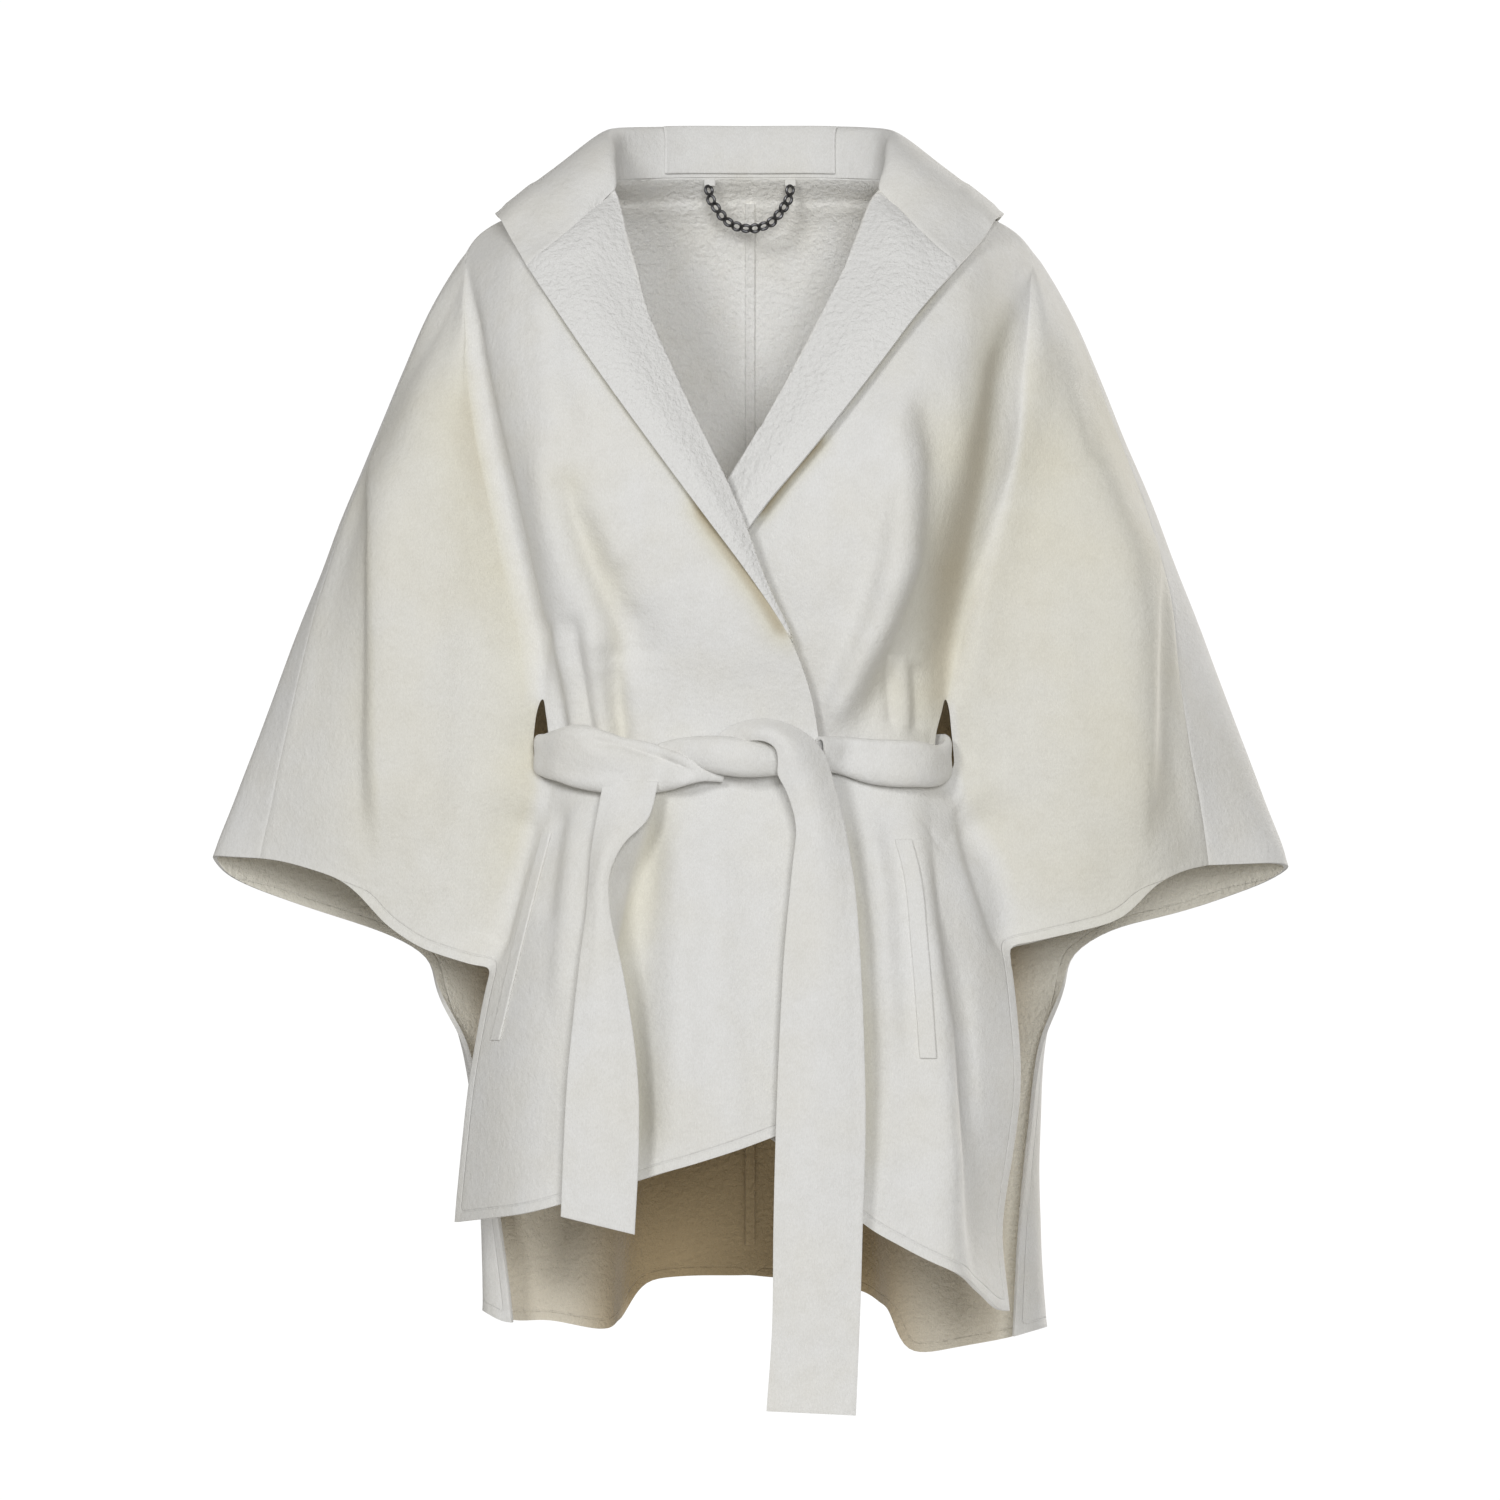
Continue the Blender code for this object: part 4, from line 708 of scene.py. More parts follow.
# Creases beyond the solids' folds, on the front view: width on each side, height (minus is a trough), line.
BODY_CREASES = (
    (14, 11, -9.0, (-138, -150), (-130, -192), (-114, -232), (-94, -275), (-76, -330)),
    (14, 12, -4.0, (-98, -225), (-84, -262), (-70, -310)),
    (12, 12, 4.5, (-150, -130), (-146, -200), (-136, -262), (-122, -330)),
    (12, 12, 3.5, (-112, -180), (-96, -228), (-76, -275)),
    (13, 13, 3.0, (-150, -20), (-141, -110), (-128, -160)),
    (8, 6, -5.0, (-146, -270), (-132, -372)),
    (6, 7, 4.5, (-136, -270), (-121, -372)),
    (7, 6, -5.5, (-130, -262), (-112, -372)),
    (7, 8, 5.0, (-114, -272), (-103, -372)),
    (9, 8, -7.0, (-102, -285), (-91, -374)),
    (16, 12, -8.0, (120, -90), (133, -150), (130, -235), (104, -300), (72, -372)),
    (26, 9, 6.0, (104, -110), (112, -170), (106, -225), (84, -290), (54, -360)),
    (9, 22, -9.0, (190, -40), (184, -110), (170, -190), (152, -270), (138, -345)),
    (2.2, 2.2, -1.2, (122, -414), (143, -434), (160, -389)),
    (9, 8, 5.0, (113, -222), (96, -272), (76, -305), (52, -358)),
    (6, 5, -4.0, (103, -290), (103, -357)),
    (5, 5, 2.5, (112, -300), (111, -357)),
    (6, 5, -3.5, (121, -302), (119, -358)),
    (12, 7, -6.0, (-66, -400), (-80, -460), (-92, -520), (-88, -590), (-79, -676)),
    (7, 9, -4.0, (-134, -400), (-141, -440), (-148, -500)),
    (7, 7, 3.5, (-122, -400), (-128, -450), (-138, -560)),
    (14, 14, 3.0, (-26, -404), (-20, -540), (-12, -680)),
    (8, 10, -4.5, (64, -400), (78, -460), (90, -540), (92, -640)),
    (9, 8, 4.5, (84, -400), (94, -470), (100, -600)),
    (30, 10, -12.0, (130, -385), (142, -480), (156, -570), (163, -660), (172, -790)),
    (8, 9, 4.0, (130, -470), (142, -560), (150, -700)),
    (18, 18, -4.0, (60, -560), (52, -700)),
)
SLEEVE_CREASES = (
    (34, 7, 7.0, (-264, -120), (-268, -184), (-269, -367), (-264, -455)),
    (8, 26, -4.0, (-278, -150), (-281, -300), (-284, -440)),
    (7, 34, -13.0, (-207, -10), (-200, -80), (-190, -128), (-170, -216), (-155, -279), (-150, -345)),
    (6, 32, -9.0, (-152, -400), (-166, -450), (-186, -525)),
    (16, 16, 4.0, (-226, -250), (-228, -380), (-238, -500)),
    (7, 30, 7.0, (286, -180), (287, -240), (284, -367), (280, -440)),
    (26, 9, -4.0, (298, -230), (300, -340), (304, -440)),
    (16, 9, 5.0, (205, -10), (200, -60), (196, -112), (180, -197), (160, -282), (152, -345)),
    (32, 6, -9.0, (152, -400), (168, -450), (188, -520)),
    (9, 9, -3.0, (238, -90), (246, -118), (254, -160)),
    (16, 16, 3.5, (226, -230), (232, -380), (244, -490)),
)
LAPEL_CREASES = (
    (14, 14, 1.4, (-136, -60), (-80, -150), (-40, -215)),
    (14, 14, 1.4, (120, -60), (60, -140), (20, -190)),
)
COLLAR_CREASES = (
    (12, 12, 1.2, (-152, 42), (-168, 32), (-179, 20)),
    (12, 12, 1.2, (152, 42), (168, 32), (179, 20)),
)
BACK_CREASES = (
    (26, 24, 9.0, (-60, -90), (-70, -300), (-64, -520), (-66, -790)),
    (22, 26, -8.0, (-104, -130), (-118, -320), (-112, -560), (-98, -770)),
    (24, 22, 8.0, (-138, -160), (-160, -320), (-172, -470)),
    (26, 24, -9.0, (-190, -130), (-212, -290), (-222, -450)),
    (20, 18, 7.0, (-146, -520), (-140, -640), (-146, -760)),
    (24, 26, 8.0, (54, -120), (66, -330), (70, -540), (72, -790)),
    (26, 20, -9.0, (96, -100), (112, -290), (120, -520), (108, -770)),
    (22, 24, 7.0, (142, -180), (158, -340), (168, -470)),
    (24, 26, -8.0, (186, -110), (208, -280), (226, -450)),
    (18, 20, 7.0, (148, -530), (144, -650), (150, -750)),
    (16, 16, -5.0, (-18, -260), (-24, -440), (-30, -620)),
    (14, 18, -5.0, (22, -330), (26, -500), (20, -680)),
)
BAND_CREASES = (
    (5, 6, -5.0, (-124, -357), (-90, -362), (-66, -371), (-46, -381), (-34, -386)),
    (7, 6, 3.2, (-142, -353), (-110, -354), (-80, -357), (-62, -363), (-42, -373)),
    (8, 5, -2.0, (-146, -380), (-110, -384), (-80, -388)),
    (6, 8, -2.0, (60, -368), (95, -366), (134, -372)),
)
# Painted shade, cream to khaki, where folds, hollows and overlaps shade the wool and where the sleeves turn
# from the light: a width on each side of a line, and how strongly, up to 2.
BODY_PAINTED_SHADE = (
    (3, 4, 0.9, (-158, -22), (-106, -98), (-62, -158), (-23, -211)),
    (5, 11, 1.7, (-50, -175), (-23, -211), (6, -251), (22, -278), (37, -301)),
    (8, 3, 2.0, (60, -133), (27, -169), (-1, -207)),
    (3, 3, 0.9, (148, -20), (101, -78), (60, -133)),
    (7, 9, 0.6, (-98, -262), (-93, -390)),
    (10, 24, 1.3, (186, -20), (180, -90), (170, -170), (156, -240), (140, -320), (128, -400)),
    (26, 14, 0.6, (128, -90), (137, -150), (132, -235), (104, -300), (72, -360)),
    (16, 16, 0.7, (-134, -150), (-126, -195), (-110, -232), (-90, -280)),
    (18, 4, 1.0, (-60, -370), (-82, -467), (-94, -520), (-88, -590), (-78, -690)),
    (10, 4, 0.8, (66, -395), (72, -450), (82, -560), (84, -700)),
)
SLEEVE_PAINTED_SHADE = (
    (3, 44, 1.0, (-207, -21), (-203, -80), (-192, -128), (-170, -216), (-155, -279), (-150, -330),
     (-158, -430), (-180, -520)),
    (2, 16, 0.35, (-270, -150), (-269, -367), (-266, -450)),
    (44, 3, 0.55, (205, -21), (200, -80), (193, -112), (176, -197), (154, -282), (150, -330), (158, -430),
     (180, -520)),
    (70, 70, 0.85, (236, -60), (262, -300), (262, -560)),
    (70, 70, 0.45, (-230, -60), (-262, -300), (-262, -560)),
)
NO_CREASES = ()
UNEVEN, UNEVEN_SIZE = 0.7, 55.0
CREASE_FADE = 24.0
SLIT_CALM, SLIT_FADE = -430.0, 40.0

# Colours of the wool's face and of its inside. The inside is painted lighter than the face as painted light,
# and below the waist it carries painted shade, cream at the sides, tan in the middle and paler in the back's
# two lobes.
WOOL = (0.84, 0.838, 0.824)
INSIDE_PAINTED_LIGHT = (0.96, 0.955, 0.935)
INSIDE_PAINTED_SHADE_TAN = (0.43, 0.335, 0.20)
INSIDE_PAINTED_SHADE_CREAM = (0.93, 0.90, 0.80)
INSIDE_SHADE_X, INSIDE_SHADE_Z = (0.17, 0.23), (-0.26, -0.36)
LOBE_X, LOBE_Z = (0.085, 0.14), (-0.52, -0.66)
LOBE_PALE = 0.62
# Painted shade of folds, hollows and overlaps: cream, and khaki where it is deepest.
PAINTED_SHADE_CREAM = (0.95, 0.93, 0.84)
PAINTED_SHADE_KHAKI = (0.60, 0.52, 0.38)
BROAD_TINT = (0.985, 0.975, 0.945)
MOTTLE = (0.93, 0.925, 0.91)
FIBRE_SHADE = (0.62, 0.6, 0.56)
WOOL_VALUES = {
    "Roughness": 0.92, "Specular IOR Level": 0.18,
    "Sheen Weight": 0.25, "Sheen Roughness": 0.45, "Sheen Tint": (1.0, 0.99, 0.97, 1),
}

# Wool patterns: cells a metre, detail and roughness, from the broadest to the single fibres.
BROAD, MOTTLES, FELT, FIBRES = (14, 3, 0.55), (75, 4, 0.65), (230, 3, 0.6), (1300, 4, 0.7)
BROAD_RANGE, MOTTLE_RANGE, FIBRE_RANGE = (0.35, 0.7), (0.35, 0.75, 0.0, 0.5), (0.3, 0.7, 0.0, 0.22)
FIBRE_LIE, FIBRE_STRETCH = (0, 0.35, 0), (1.0, 1.0, 0.35)

# Depth in metres and strength of the wool's bumps: stitch groove, felt and fibres. The inside is nubbier.
STITCH_BUMP, FELT_BUMP, FIBRE_BUMP = (0.001, 0.5), (0.0009, 0.8), (0.0004, 0.8)
GROOVE_BUMP, GROOVE_BUMP_WIDE = -1.2, 1.1
INSIDE_NUB = 0.0018

# Gunmetal: dark and worn colours, where the wear starts, its cells a metre and detail, and its roughness.
METAL, METAL_WORN = (0.12, 0.12, 0.125), (0.3, 0.3, 0.31)
WEAR_START, WEAR, METAL_ROUGH = 0.45, (420, 4), (0.22, 0.45)

# Stage: a pale round floor, white behind it, and lights as name, place, size, power and colour.
FLOOR_RADIUS, FLOOR_Z, FLOOR_SIDES = 0.45, -1.02, 64
FLOOR_VALUES = {"Base Color": (0.95, 0.95, 0.95, 1), "Roughness": 0.9}
SKY, SKY_POWER = (1.0, 0.965, 0.91, 1), 0.24
BACKDROP, BACKDROP_POWER = (1, 1, 1, 1), 1.05
LIGHT_AIM = (0, 0, -0.35)
LIGHTS = (
    ("key", (-1.3, -3.0, 0.8), 0.7, 34, (0.975, 0.985, 1.0)),
    ("fill", (0.35, -3.4, 0.1), 0.8, 47, (0.975, 0.985, 1.0)),
    ("back", (2.4, 1.9, 0.5), 0.9, 70, (1.0, 0.985, 0.96)),
    ("back_fill", (-0.6, 3.0, 0.2), 1.2, 26, (1.0, 0.985, 0.96)),
)
LENS, SENSOR = 100, 36


def noise_at(points, size):
    return np.array([noise.noise(Vector(p / size)) for p in points])


def welded(patches):
    """One mesh of the patches' grids, joined where their points meet, with each point's region."""
    found, points, faces, regions = {}, [], [], []
    for region, grid in patches:
        ids = np.zeros(grid.shape[:2], int)
        for i, row in enumerate(grid):
            for j, point in enumerate(row):
                key = tuple(int(round(c / TINY)) for c in point)
                if key not in found:
                    found[key] = len(points)
                    points.append(point)
                    regions.append(region)
                ids[i, j] = found[key]
        for i in range(ids.shape[0] - 1):
            for j in range(ids.shape[1] - 1):
                ring = (ids[i, j], ids[i, j + 1], ids[i + 1, j + 1], ids[i + 1, j])
                face = tuple(dict.fromkeys(int(c) for c in ring))
                if len(face) > 2:
                    faces.append(face)
    return np.array(points), faces, regions


def settle(made):
    """Applies the object's modifiers."""
    graph = bpy.context.evaluated_depsgraph_get()
    mesh = bpy.data.meshes.new_from_object(made.evaluated_get(graph))
    made.modifiers.clear()
    made.data = mesh


def shown(name, data):
    """A new object of the data, in the scene."""
    made = bpy.data.objects.new(name, data)
    bpy.context.scene.collection.objects.link(made)
    return made


def attribute(mesh, name, values=None):
    """Writes the points' values under this name, or reads them."""
    if name not in mesh.attributes:
        mesh.attributes.new(name, "FLOAT", "POINT")
    if values is None:
        values = np.zeros(len(mesh.vertices))
        mesh.attributes[name].data.foreach_get("value", values)
        return values
    mesh.attributes[name].data.foreach_set("value", np.asarray(values, float))
    return values


def places(mesh, kind="co"):
    """The points' places, or their normals."""
    found = np.zeros(len(mesh.vertices) * 3)
    mesh.vertices.foreach_get(kind, found)
    return found.reshape(-1, 3)


def fine_surface(name, patches, levels=1, corners=()):
    """The patches as one subdivided surface without thickness, in metres, sharp at the given corners."""
    points, faces, regions = welded(patches)
    mesh = bpy.data.meshes.new(name)
    mesh.from_pydata((points / 1000).tolist(), [], faces)
    for k, region in enumerate(("sleeve", "lapel"), 1):
        attribute(mesh, region, [float(r == k) for r in regions])
    if len(corners):
        apart = np.min([np.linalg.norm(points - corner, axis=1) for corner in corners], axis=0)
        attribute(mesh, "crease_vert", (apart < CORNER_NEAR).astype(float))
    made = shown(name, mesh)
    fine = made.modifiers.new("fine", "SUBSURF")
    fine.levels = levels
    fine.boundary_smooth = "PRESERVE_CORNERS"
    settle(made)
    return made


def rim_points(mesh):
    """Indices of the vertices on the mesh's open edges."""
    counts = {}
    for polygon in mesh.polygons:
        for key in polygon.edge_keys:
            counts[key] = counts.get(key, 0) + 1
    return sorted({v for key, count in counts.items() if count == 1 for v in key})


def tree_of(points):
    tree = KDTree(max(1, len(points)))
    for index, point in enumerate(points):
        tree.insert(point, index)
    tree.balance()
    return tree


def far_from(points, others, most):
    """Distance of each point from the nearest of the others, in millimetres, at most so much."""
    if len(others) == 0:
        return np.full(len(points), most)
    tree = tree_of(others)
    return np.array([min(tree.find(p)[2] * 1000, most) for p in points])


def crease(made, creases_of_body, creases_of_sleeve=NO_CREASES, seam_tree=None, out=-1, paint_shade=False):
    """Raises the surface by its creases, which fade towards seams, and by the cloth's own unevenness, and
    stores the painted shade of folds, hollows, overlaps and the sleeves' turn from the light as a point
    attribute.
    """
    mesh = made.data
    points, ways = places(mesh), places(mesh, "normal")
    x, z = seen_size(points * 1000)
    sleeve, lapel = attribute(mesh, "sleeve"), attribute(mesh, "lapel")
    high = creased(x, z, creases_of_body) * (1 - lapel)
    high += creased(x, z, creases_of_sleeve)
    high += creased(x, z, LAPEL_CREASES) * lapel
    if seam_tree is not None:
        seams = [p for p in points[rim_points(mesh)] if seam_tree.find(p)[2] * 1000 < SEAM_FIND]
        high *= ease(far_from(points, seams, CREASE_FADE) / CREASE_FADE)
    high += UNEVEN * noise_at(points * 1000, UNEVEN_SIZE)
    # Painted shade: how much each point is darkened where folds, hollows and overlaps would shade it, and on
    # the sleeves turned from the light; only the fronts get it.
    painted_shade = creased(x, z, BODY_PAINTED_SHADE) * (1 - lapel) * (1 - sleeve) + creased(x, z, SLEEVE_PAINTED_SHADE) * sleeve
    attribute(mesh, "painted_shade", np.clip(paint_shade * painted_shade, 0, 2))
    points = points + out * ways * (high / 1000)[:, None]
    mesh.vertices.foreach_set("co", points.ravel())
    mesh.update()


def thicken(made, seam_tree=None, thick=CLOTH, look="wool", inner="wool_inside", shift=0.0, groove=1.0):
    """Turns the surface into a wall with rounded edges, stitch grooves beside them and sunken seams."""
    mesh = made.data
    rim = rim_points(mesh)
    points = places(mesh)
    near_seam = [i for i in rim if seam_tree is not None and seam_tree.find(points[i])[2] * 1000 < SEAM_FIND]
    free = sorted(set(rim) - set(near_seam))
    far = far_from(points, points[free], EDGE_FAR)
    seam = far_from(points, points[near_seam], EDGE_FAR)
    share = WALL_SHARE + EDGE_SWELL * np.exp(-((far / EDGE_REACH) ** 2))
    grooved = groove * (1 - attribute(mesh, "lapel")) * ease((SLIT_CALM - points[:, 2] * 1000) / SLIT_FADE)
    share -= GROOVE_SHARE * grooved * np.exp(-(((far - GROOVE_OFF) / GROOVE_WIDE) ** 2))
    share -= SEAM_SHARE * np.exp(-((seam / SEAM_REACH) ** 2))
    attribute(mesh, "edge_far", far + EDGE_FAR * (1 - grooved))
    group = made.vertex_groups.new(name="thickness")
    for index, value in enumerate(share):
        group.add([index], float(np.clip(value, WALL_LEAST, WALL_MOST)), "REPLACE")
    if shift:
        moved = points + places(mesh, "normal") * (shift / 1000)
        mesh.vertices.foreach_set("co", moved.ravel())
    mesh.materials.clear()
    mesh.materials.append(looks[inner])
    mesh.materials.append(looks[look])
    solid = made.modifiers.new("wall", "SOLIDIFY")
    solid.thickness = thick / 1000
    solid.offset = 0
    solid.vertex_group = "thickness"
    solid.material_offset = 1
    solid.material_offset_rim = 1
    solid.use_rim = True
    rounding = made.modifiers.new("rounding", "BEVEL")
    rounding.width = EDGE_ROUND / 1000
    rounding.segments = EDGE_SEGMENTS
    rounding.limit_method = "ANGLE"
    rounding.angle_limit = EDGE_SHARP
    settle(made)
    made.data.shade_smooth()
    return made


def feed(tree, node, inputs):
    """Gives a node its inputs, each as a value or as a link from another node's output."""
    for slot, value in inputs.items():
        if isinstance(value, bpy.types.NodeSocket):
            tree.links.new(value, node.inputs[slot])
        else:
            node.inputs[slot].default_value = value
    return node.outputs


def new_node(tree, kind, inputs):
    """The outputs of a new node with these inputs."""
    return feed(tree, tree.nodes.new("ShaderNode" + kind), inputs)


def new_look(name, values):
    """A new material, its node tree, and its shader with these values on its own sockets."""
    look = bpy.data.materials.new(name)
    look.use_nodes = True
    shader = look.node_tree.nodes["Principled BSDF"]
    feed(look.node_tree, shader, values)
    return look, look.node_tree, shader


def wool_look(name, high, shade_tan=None, nub=0.0):
    """Brushed double-faced wool: short fibres, felted unevenness, sheen and a stitch groove by the edges,
    with painted shade of folds and overlaps; the inside also gets painted light at the top and painted shade
    below the waist.
    """
    look, tree, shader = new_look(name, WOOL_VALUES)
    place = new_node(tree, "TexCoord", {})["Object"]

    def pattern(scale, detail, rough, source=place):
        inputs = {"Vector": source, "Scale": scale, "Detail": detail, "Roughness": rough}
        return new_node(tree, "TexNoise", inputs)["Fac"]

    def painted(attribute_name):
        node = tree.nodes.new("ShaderNodeAttribute")
        node.attribute_name = attribute_name
        return node.outputs["Fac"]

    def mixed(factor, first, second, mode="MIX"):
        first, second = [(*c, 1) if isinstance(c, tuple) else c for c in (first, second)]
        node = tree.nodes.new("ShaderNodeMix")
        node.data_type = "RGBA"
        node.blend_type = mode
        return feed(tree, node, {0: factor, 6: first, 7: second})[2]

    def ranged(value, start, end, first=0.0, last=1.0, kind="SMOOTHSTEP"):
        node = tree.nodes.new("ShaderNodeMapRange")
        node.interpolation_type = kind
        return feed(tree, node, {0: value, 1: start, 2: end, 3: first, 4: last})[0]

    def maths(kind, first, second=0.0):
        node = tree.nodes.new("ShaderNodeMath")
        node.operation = kind
        return feed(tree, node, {0: first, 1: second})[0]

    def bump(height, distance, strength, beneath=None):
        inputs = {"Distance": distance, "Strength": strength, "Height": height}
        if beneath:
            inputs["Normal"] = beneath
        return new_node(tree, "Bump", inputs)["Normal"]

    broad = ranged(pattern(*BROAD), *BROAD_RANGE)
    colour = mixed(broad, high, tuple(c * f for c, f in zip(high, BROAD_TINT)))
    colour = mixed(ranged(pattern(*MOTTLES), *MOTTLE_RANGE), colour, MOTTLE, "MULTIPLY")
    # The inside: painted shade below the waist, cream at the sides and tan in the middle, less in the back's
    # two lobes; the lapel's turned face keeps the wool's own colour.
    if shade_tan:
        axes = new_node(tree, "SeparateXYZ", {0: place})
        aside = maths("ABSOLUTE", axes["X"])
        deep = ranged(axes["Z"], INSIDE_SHADE_Z[1], INSIDE_SHADE_Z[0], 1.0, 0.0)
        colour = mixed(deep, colour, INSIDE_PAINTED_SHADE_CREAM)
        lobes = maths("MULTIPLY", ranged(aside, *LOBE_X, 0.0, LOBE_PALE),
                      ranged(axes["Z"], LOBE_Z[1], LOBE_Z[0], 1.0, 0.0))
        middle = ranged(aside, *INSIDE_SHADE_X, 1.0, 0.0)
        colour = mixed(maths("MULTIPLY", deep, maths("SUBTRACT", middle, lobes)), colour, shade_tan)
        colour = mixed(painted("lapel"), colour, WOOL)
    # Painted shade from the points' attribute: up to 1 it darkens the colour towards cream, from 1 to 2
    # further towards khaki.
    painted_shade = painted("painted_shade")
    colour = mixed(ranged(painted_shade, 0.0, 1.0, kind="LINEAR"), colour, PAINTED_SHADE_CREAM, "MULTIPLY")
    colour = mixed(ranged(painted_shade, 1.0, 2.0, kind="LINEAR"), colour, PAINTED_SHADE_KHAKI, "MULTIPLY")
    lie = new_node(tree, "Mapping", {"Vector": place, "Scale": FIBRE_STRETCH, "Rotation": FIBRE_LIE})
    fibres = pattern(*FIBRES, lie["Vector"])
    colour = mixed(ranged(fibres, *FIBRE_RANGE), colour, FIBRE_SHADE, "MULTIPLY")
    off_groove = maths("ABSOLUTE", maths("SUBTRACT", painted("edge_far"), GROOVE_OFF))
    normal = bump(ranged(off_groove, 0.0, GROOVE_BUMP_WIDE, GROOVE_BUMP, 0.0), *STITCH_BUMP)
    normal = bump(pattern(*FELT), FELT_BUMP[0] + nub, FELT_BUMP[1], normal)
    feed(tree, shader, {"Base Color": colour, "Normal": bump(fibres, *FIBRE_BUMP, normal)})
    return look


def metal_look():
    look, tree, shader = new_look("gunmetal", {"Metallic": 1.0})
    place = new_node(tree, "TexCoord", {})["Object"]
    wear = new_node(tree, "TexNoise", {"Vector": place, "Scale": WEAR[0], "Detail": WEAR[1]})["Fac"]
    ramp = tree.nodes.new("ShaderNodeValToRGB")
    for stop, colour in zip(ramp.color_ramp.elements, (METAL, METAL_WORN)):
        stop.color = (*colour, 1)
    ramp.color_ramp.elements[0].position = WEAR_START
    rough = new_node(tree, "MapRange", {0: wear, 3: METAL_ROUGH[0], 4: METAL_ROUGH[1]})[0]
    feed(tree, shader, {"Base Color": feed(tree, ramp, {0: wear})[0], "Roughness": rough})
    return look


def panel_patches(front):
    grids = front.grids(BODY_STEPS, SLEEVE_STEPS, LAPEL_STEPS)
    body, sleeve, lapel = [full_size(turned(grid, front.side)) for grid in grids]
    return [(0, body), (1, sleeve), (2, lapel[:, ::-1])]


def on_front(x, z, high, deep):
    """Depth of a strip's centre that clears the front under it by a seam's gap."""
    front = fronts[RIGHT if x < BELT_OVER else LEFT]
    under = [
        front.lies(x * front.side + side_step, z + rise)
        for side_step in (-BELT_FEEL, 0, BELT_FEEL) for rise in (-high, -high / 2, 0, high / 2, high)
    ]
    return min(under) - CLOTH / 2 - SEAM - deep * BELT_SWELL - BELT_PLY / 2


def stationed(table, reach, station):
    """The table's rows evened out along its line, one for each station."""
    return along(table, np.linspace(0, 1, int(reach / station) + 1))


def strip_grid(rows, station):
    """A belt stretch folded on itself, with its two edges near each other on its inner side."""
    placed = [(x, on_front(x, z, high, deep) if y is None else y, z) for x, y, z, high, deep in rows]
    table = np.concatenate([full_size(placed), np.array([row[3:] for row in rows], float)], axis=1)
    table = stationed(table, np.linalg.norm(np.diff(table[:, :3], axis=0), axis=1).sum(), station)
    grid = []
    for row, way in zip(table, np.gradient(table[:, :3], axis=0)):
        centre, (high, deep) = row[:3], row[3:]
        way = way / np.linalg.norm(way)
        outward = np.cross((0, 0, 1), way)
        outward /= np.linalg.norm(outward)
        upward = np.cross(way, outward)
        turn = high - deep
        half = deep * math.sqrt(0.5)
        section = np.array((
            (-deep, BELT_LIP - turn), (-deep, -turn), (-half, -turn - half), (0, -high),
            (half, -turn - half), (deep, -turn), (deep * BELT_SWELL, 0), (deep, turn), (half, turn + half),
            (0, high), (-half, turn + half), (-deep, turn), (-deep, -turn * BELT_TUCK),
        ))
        section = along(section, np.linspace(0, 1, BELT_AROUND))
        grid.append([centre + outward * off + upward * rise for off, rise in section])
    return np.array(grid)


def tail_grid(rows):
    """A free end of the belt, bulging between its two edges."""
    table = np.array(rows, float)
    table = stationed(table, np.linalg.norm(np.diff(table[:, :2], axis=0), axis=1).sum(), TAIL_STATION)
    grid = []
    for left_x, left_z, right_x, right_z, left_y, right_y, bulge in table:
        left, right = np.array([(left_x, left_y, left_z), (right_x, right_y, right_z)], float)
        grid.append([
            left * (1 - t) + right * t - (0, bulge * math.sin(math.pi * t), 0)
            for t in np.linspace(0, 1, TAIL_ACROSS)
        ])
    return full_size(grid)


def laid_on(grid, under, start_y, lift):
    """The grid's points moved along depth to lie on finished pieces, looking from start_y to the back."""
    trees = [BVHTree.FromObject(made, bpy.context.evaluated_depsgraph_get()) for made in under]
    laid = np.array(grid, float)
    for i, row in enumerate(grid):
        for j, point in enumerate(row):
            start = Vector((point[0] / 1000, start_y, point[2] / 1000))
            hits = [tree.ray_cast(start, Vector((0, 1, 0)))[0] for tree in trees]
            depths = [hit[1] for hit in hits if hit is not None]
            if depths:
                laid[i, j, 1] = min(depths) * 1000 - lift
    return laid


def tape_grid():
    """A flat strip for the tape of the centre-back seam, to be laid on the cloth behind it."""
    return [[(x, TAPE_DEPTH, z) for x in np.linspace(*TAPE_ACROSS)] for z in np.linspace(*TAPE_DOWN)]


def tab_grid(side):
    across = [TAB_WIDE * (k - 0.5) for k in np.linspace(0, 1, TAB_ACROSS)]
    down = np.linspace(TAB_TOP, TAB_FOOT, TAB_DOWN)
    return full_size([[(side * TAB_OUT + off, TAB_DEPTH, z) for off in across] for z in down])


def welt_grid(front):
    line, wide = WELTS[front.side]
    rows = []
    for out, z in along(line, np.linspace(0, 1, WELT_DOWN)):
        rows.append([(out + wide * k, front.lies(out + wide * k, z), z) for k in WELT_ACROSS])
    return full_size(turned(rows, front.side))


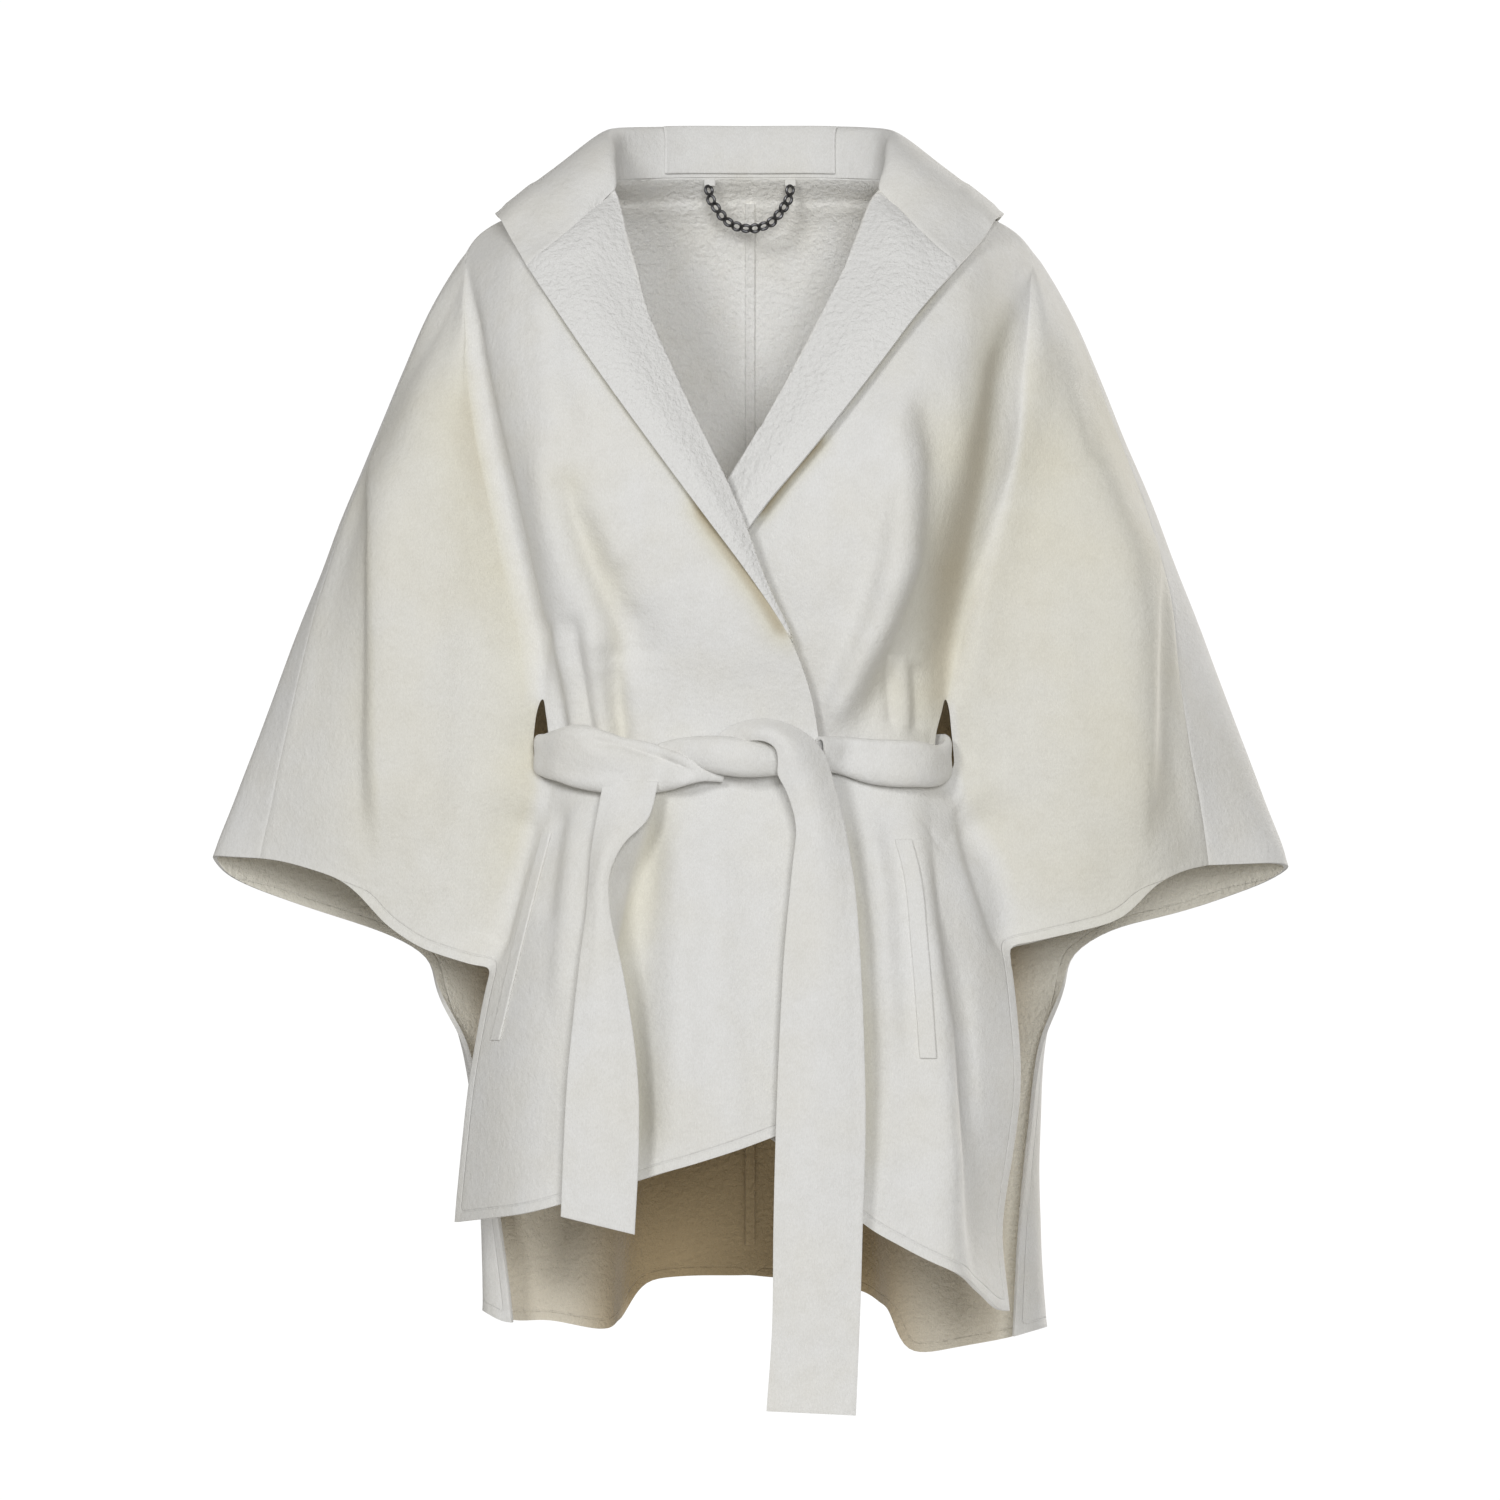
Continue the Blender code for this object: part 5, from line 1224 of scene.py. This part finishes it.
def build_chain():
    """Curb links: ovals of round wire, each turned about the chain's own line."""
    links = full_size(CHAIN)
    points, faces = [], []
    for i, centre in enumerate(links):
        way = links[min(i + 1, len(links) - 1)] - links[max(i - 1, 0)]
        way = way / np.linalg.norm(way)
        across = np.cross(way, (0, 1, 0))
        across /= np.linalg.norm(across)
        turn = math.radians(LINK_TURN if i % 2 else -LINK_TURN)
        side_way = across * math.cos(turn) + np.cross(way, across) * math.sin(turn)
        out_way = np.cross(way, side_way)
        first = len(points)
        for k in range(LINK_AROUND):
            a = 2 * math.pi * k / LINK_AROUND
            radial = way * math.cos(a) * LINK_STRETCH + side_way * math.sin(a)
            middle = centre + radial * LINK_RADIUS
            radial = radial / np.linalg.norm(radial)
            here, after = [first + (k + step) % LINK_AROUND * WIRE_SIDES for step in (0, 1)]
            for m in range(WIRE_SIDES):
                b = 2 * math.pi * m / WIRE_SIDES
                points.append(middle + WIRE_RADIUS * (radial * math.cos(b) + out_way * math.sin(b)))
                turned_on = (m + 1) % WIRE_SIDES
                faces.append((here + m, here + turned_on, after + turned_on, after + m))
    mesh = bpy.data.meshes.new("chain_links")
    mesh.from_pydata((np.array(points) / 1000).tolist(), [], faces)
    mesh.update()
    mesh.materials.append(looks["metal"])
    mesh.shade_smooth()
    shown("chain_links", mesh)


def build_panels():
    """The fronts, backs and collar as cloth walls, sunken where their edges meet."""
    panels = {}
    for side, front in fronts.items():
        name = "coat_front_" + sides[side]
        peak = full_size(front.lapel_point(1.0, GORGE_HEIGHTS[-1]) * (side, 1, 1))
        panels[name] = fine_surface(name, panel_patches(front), FINE, [peak])
    for side, front in fronts.items():
        name = "coat_back_" + sides[side]
        panels[name] = fine_surface(name, list(zip((1, 0), back_grids(front))), FINE)
    panels["coat_collar"] = fine_surface("coat_collar", [(0, collar_grid())], FINE)
    rims = {name: places(made.data)[rim_points(made.data)] for name, made in panels.items()}
    for name, made in panels.items():
        seam_tree = tree_of(np.concatenate([points for other, points in rims.items() if other != name]))
        if name == "coat_collar":
            crease(made, COLLAR_CREASES)
            thicken(made, seam_tree, groove=0.0)
            continue
        if name.startswith("coat_front"):
            crease(made, BODY_CREASES, SLEEVE_CREASES, seam_tree, paint_shade=True)
        else:
            crease(made, BACK_CREASES, seam_tree=seam_tree)
        thicken(made, seam_tree)
    return panels


def build_belt():
    """The strap round the body and its tie, both folded on themselves, and the two free ends."""
    for name, grid, creases, out, thick, groove in (
        ("belt_round", strip_grid(BELT_BAND, BELT_STATION), BAND_CREASES, 1, STRAP, 0.0),
        ("belt_tie", strip_grid(BELT_KNOT, TIE_STATION), NO_CREASES, -1, TIE, 0.0),
        ("belt_end_long", tail_grid(TAIL_LONG), NO_CREASES, -1, CLOTH, TAIL_GROOVE),
        ("belt_end_short", tail_grid(TAIL_SHORT), NO_CREASES, -1, CLOTH, TAIL_GROOVE),
    ):
        made = fine_surface(name, [(0, grid)])
        crease(made, creases, out=out)
        thicken(made, None, thick, inner="wool", groove=groove)


def trim(name, grid, look="wool", shift=0.0, groove=0.0):
    """A small flat piece of thin cloth."""
    thicken(fine_surface(name, [(0, grid)]), None, TRIM, look, look, shift, groove)


def build_trims(panels):
    """The neck patch, the pocket welts, the tape of the back seam and the chain's tabs."""
    patch = collar_grid(np.linspace(*PATCH_ACROSS), np.linspace(*PATCH_ALONG))
    trim("neck_patch", patch, shift=-PATCH_OFF, groove=PATCH_GROOVE)
    for side, front in fronts.items():
        welt = laid_on(welt_grid(front), [panels["coat_front_" + sides[side]]], WELT_FROM, WELT_LIFT)
        trim("pocket_welt_" + sides[side] + "_fine", welt)
    backs = [panels["coat_back_" + side] for side in sides.values()]
    trim("back_seam_tape", laid_on(tape_grid(), backs, TAPE_FROM, TAPE_LIFT), "wool_inside")
    for side in fronts:
        trim("chain_tab_" + sides[side] + "_fine", tab_grid(side))


# Both wool looks carry painted shade from the points' attribute; the inside's is also painted lighter than
# the face at the top as painted light, and tan below the waist as painted shade.
looks = {
    "wool": wool_look("ivory_wool", WOOL),
    "wool_inside": wool_look("ivory_wool_inside", INSIDE_PAINTED_LIGHT, INSIDE_PAINTED_SHADE_TAN, INSIDE_NUB),
    "metal": metal_look(),
}
fronts = {side: Front(side) for side in (RIGHT, LEFT)}
sides = {RIGHT: "right", LEFT: "left"}
panels = build_panels()
build_belt()
build_trims(panels)
build_chain()

# Each piece, the solid it stands for, and its cloth's flat size in metres, how it is held and its area.
for name, node, flat, held, area in (
    ("coat_front_right", "front_right", (0.42, 0.80), "hung", 0.238),
    ("coat_front_left", "front_left", (0.42, 0.80), "hung", 0.238),
    ("coat_back_right", "back_right", (0.42, 0.86), "hung", 0.267),
    ("coat_back_left", "back_left", (0.42, 0.86), "hung", 0.267),
    ("coat_collar", "collar", (0.56, 0.15), "folded", 0.065),
    ("belt_round", "belt_band", (0.064, 0.68), "folded", 0.0435),
    ("belt_tie", "belt_knot", (0.064, 0.068), "folded", 0.0043),
    ("belt_end_long", "belt_tail_long", (0.064, 0.43), "hung", 0.025),
    ("belt_end_short", "belt_tail_short", (0.064, 0.32), "hung", 0.011),
    ("neck_patch", "neck_band", (0.134, 0.046), "laid", 0.0056),
    ("pocket_welt_right_fine", "pocket_welt_right", (0.02, 0.16), "laid", 0.0018),
    ("pocket_welt_left_fine", "pocket_welt_left", (0.026, 0.16), "laid", 0.0028),
    ("chain_tab_right_fine", "chain_tab_right", (0.01, 0.01), "hung", 0.000065),
    ("chain_tab_left_fine", "chain_tab_left", (0.01, 0.01), "hung", 0.000065),
    ("back_seam_tape", None, (0.014, 0.80), "laid", 0.0082),
    ("chain_links", "hanger_chain", None, None, None),
):
    piece = bpy.data.objects[name]
    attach(piece, "root")
    if node:
        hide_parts(node)


def make_stage():
    """A pale floor below the coat and soft studio light; the backdrop is white."""
    turns = [2 * math.pi * k / FLOOR_SIDES for k in range(FLOOR_SIDES)]
    ring = [(FLOOR_RADIUS * math.cos(a), FLOOR_RADIUS * math.sin(a), FLOOR_Z) for a in turns]
    floor = bpy.data.meshes.new("floor")
    floor.from_pydata(ring, [], [tuple(range(FLOOR_SIDES))])
    floor.materials.append(new_look("pale_floor", FLOOR_VALUES)[0])
    shown("floor", floor)
    for name, place, size, power, colour in LIGHTS:
        data = bpy.data.lights.new(name, "AREA")
        data.energy, data.size, data.color = power, size, colour
        lamp = shown(name, data)
        lamp.location = place
        lamp.rotation_euler = (Vector(LIGHT_AIM) - Vector(place)).to_track_quat("-Z", "Y").to_euler()
    world = bpy.data.worlds.new("studio")
    bpy.context.scene.world = world
    world.use_nodes = True
    tree = world.node_tree
    sky = feed(tree, tree.nodes["Background"], {"Color": SKY, "Strength": SKY_POWER})[0]
    seen = new_node(tree, "Background", {"Color": BACKDROP, "Strength": BACKDROP_POWER})[0]
    path = new_node(tree, "LightPath", {})["Is Camera Ray"]
    mix = new_node(tree, "MixShader", {0: path, 1: sky, 2: seen})[0]
    feed(tree, tree.nodes["World Output"], {"Surface": mix})
    bpy.context.scene.view_settings.view_transform = "Standard"


def make_camera():
    data = bpy.data.cameras.new("camera")
    data.lens, data.sensor_width = LENS, SENSOR
    camera = shown("camera", data)
    camera.location = (0, -VIEW_DISTANCE / 1000, VIEW_HEIGHT / 1000)
    camera.rotation_euler = (math.pi / 2, 0, 0)
    bpy.context.scene.camera = camera


make_stage()
make_camera()
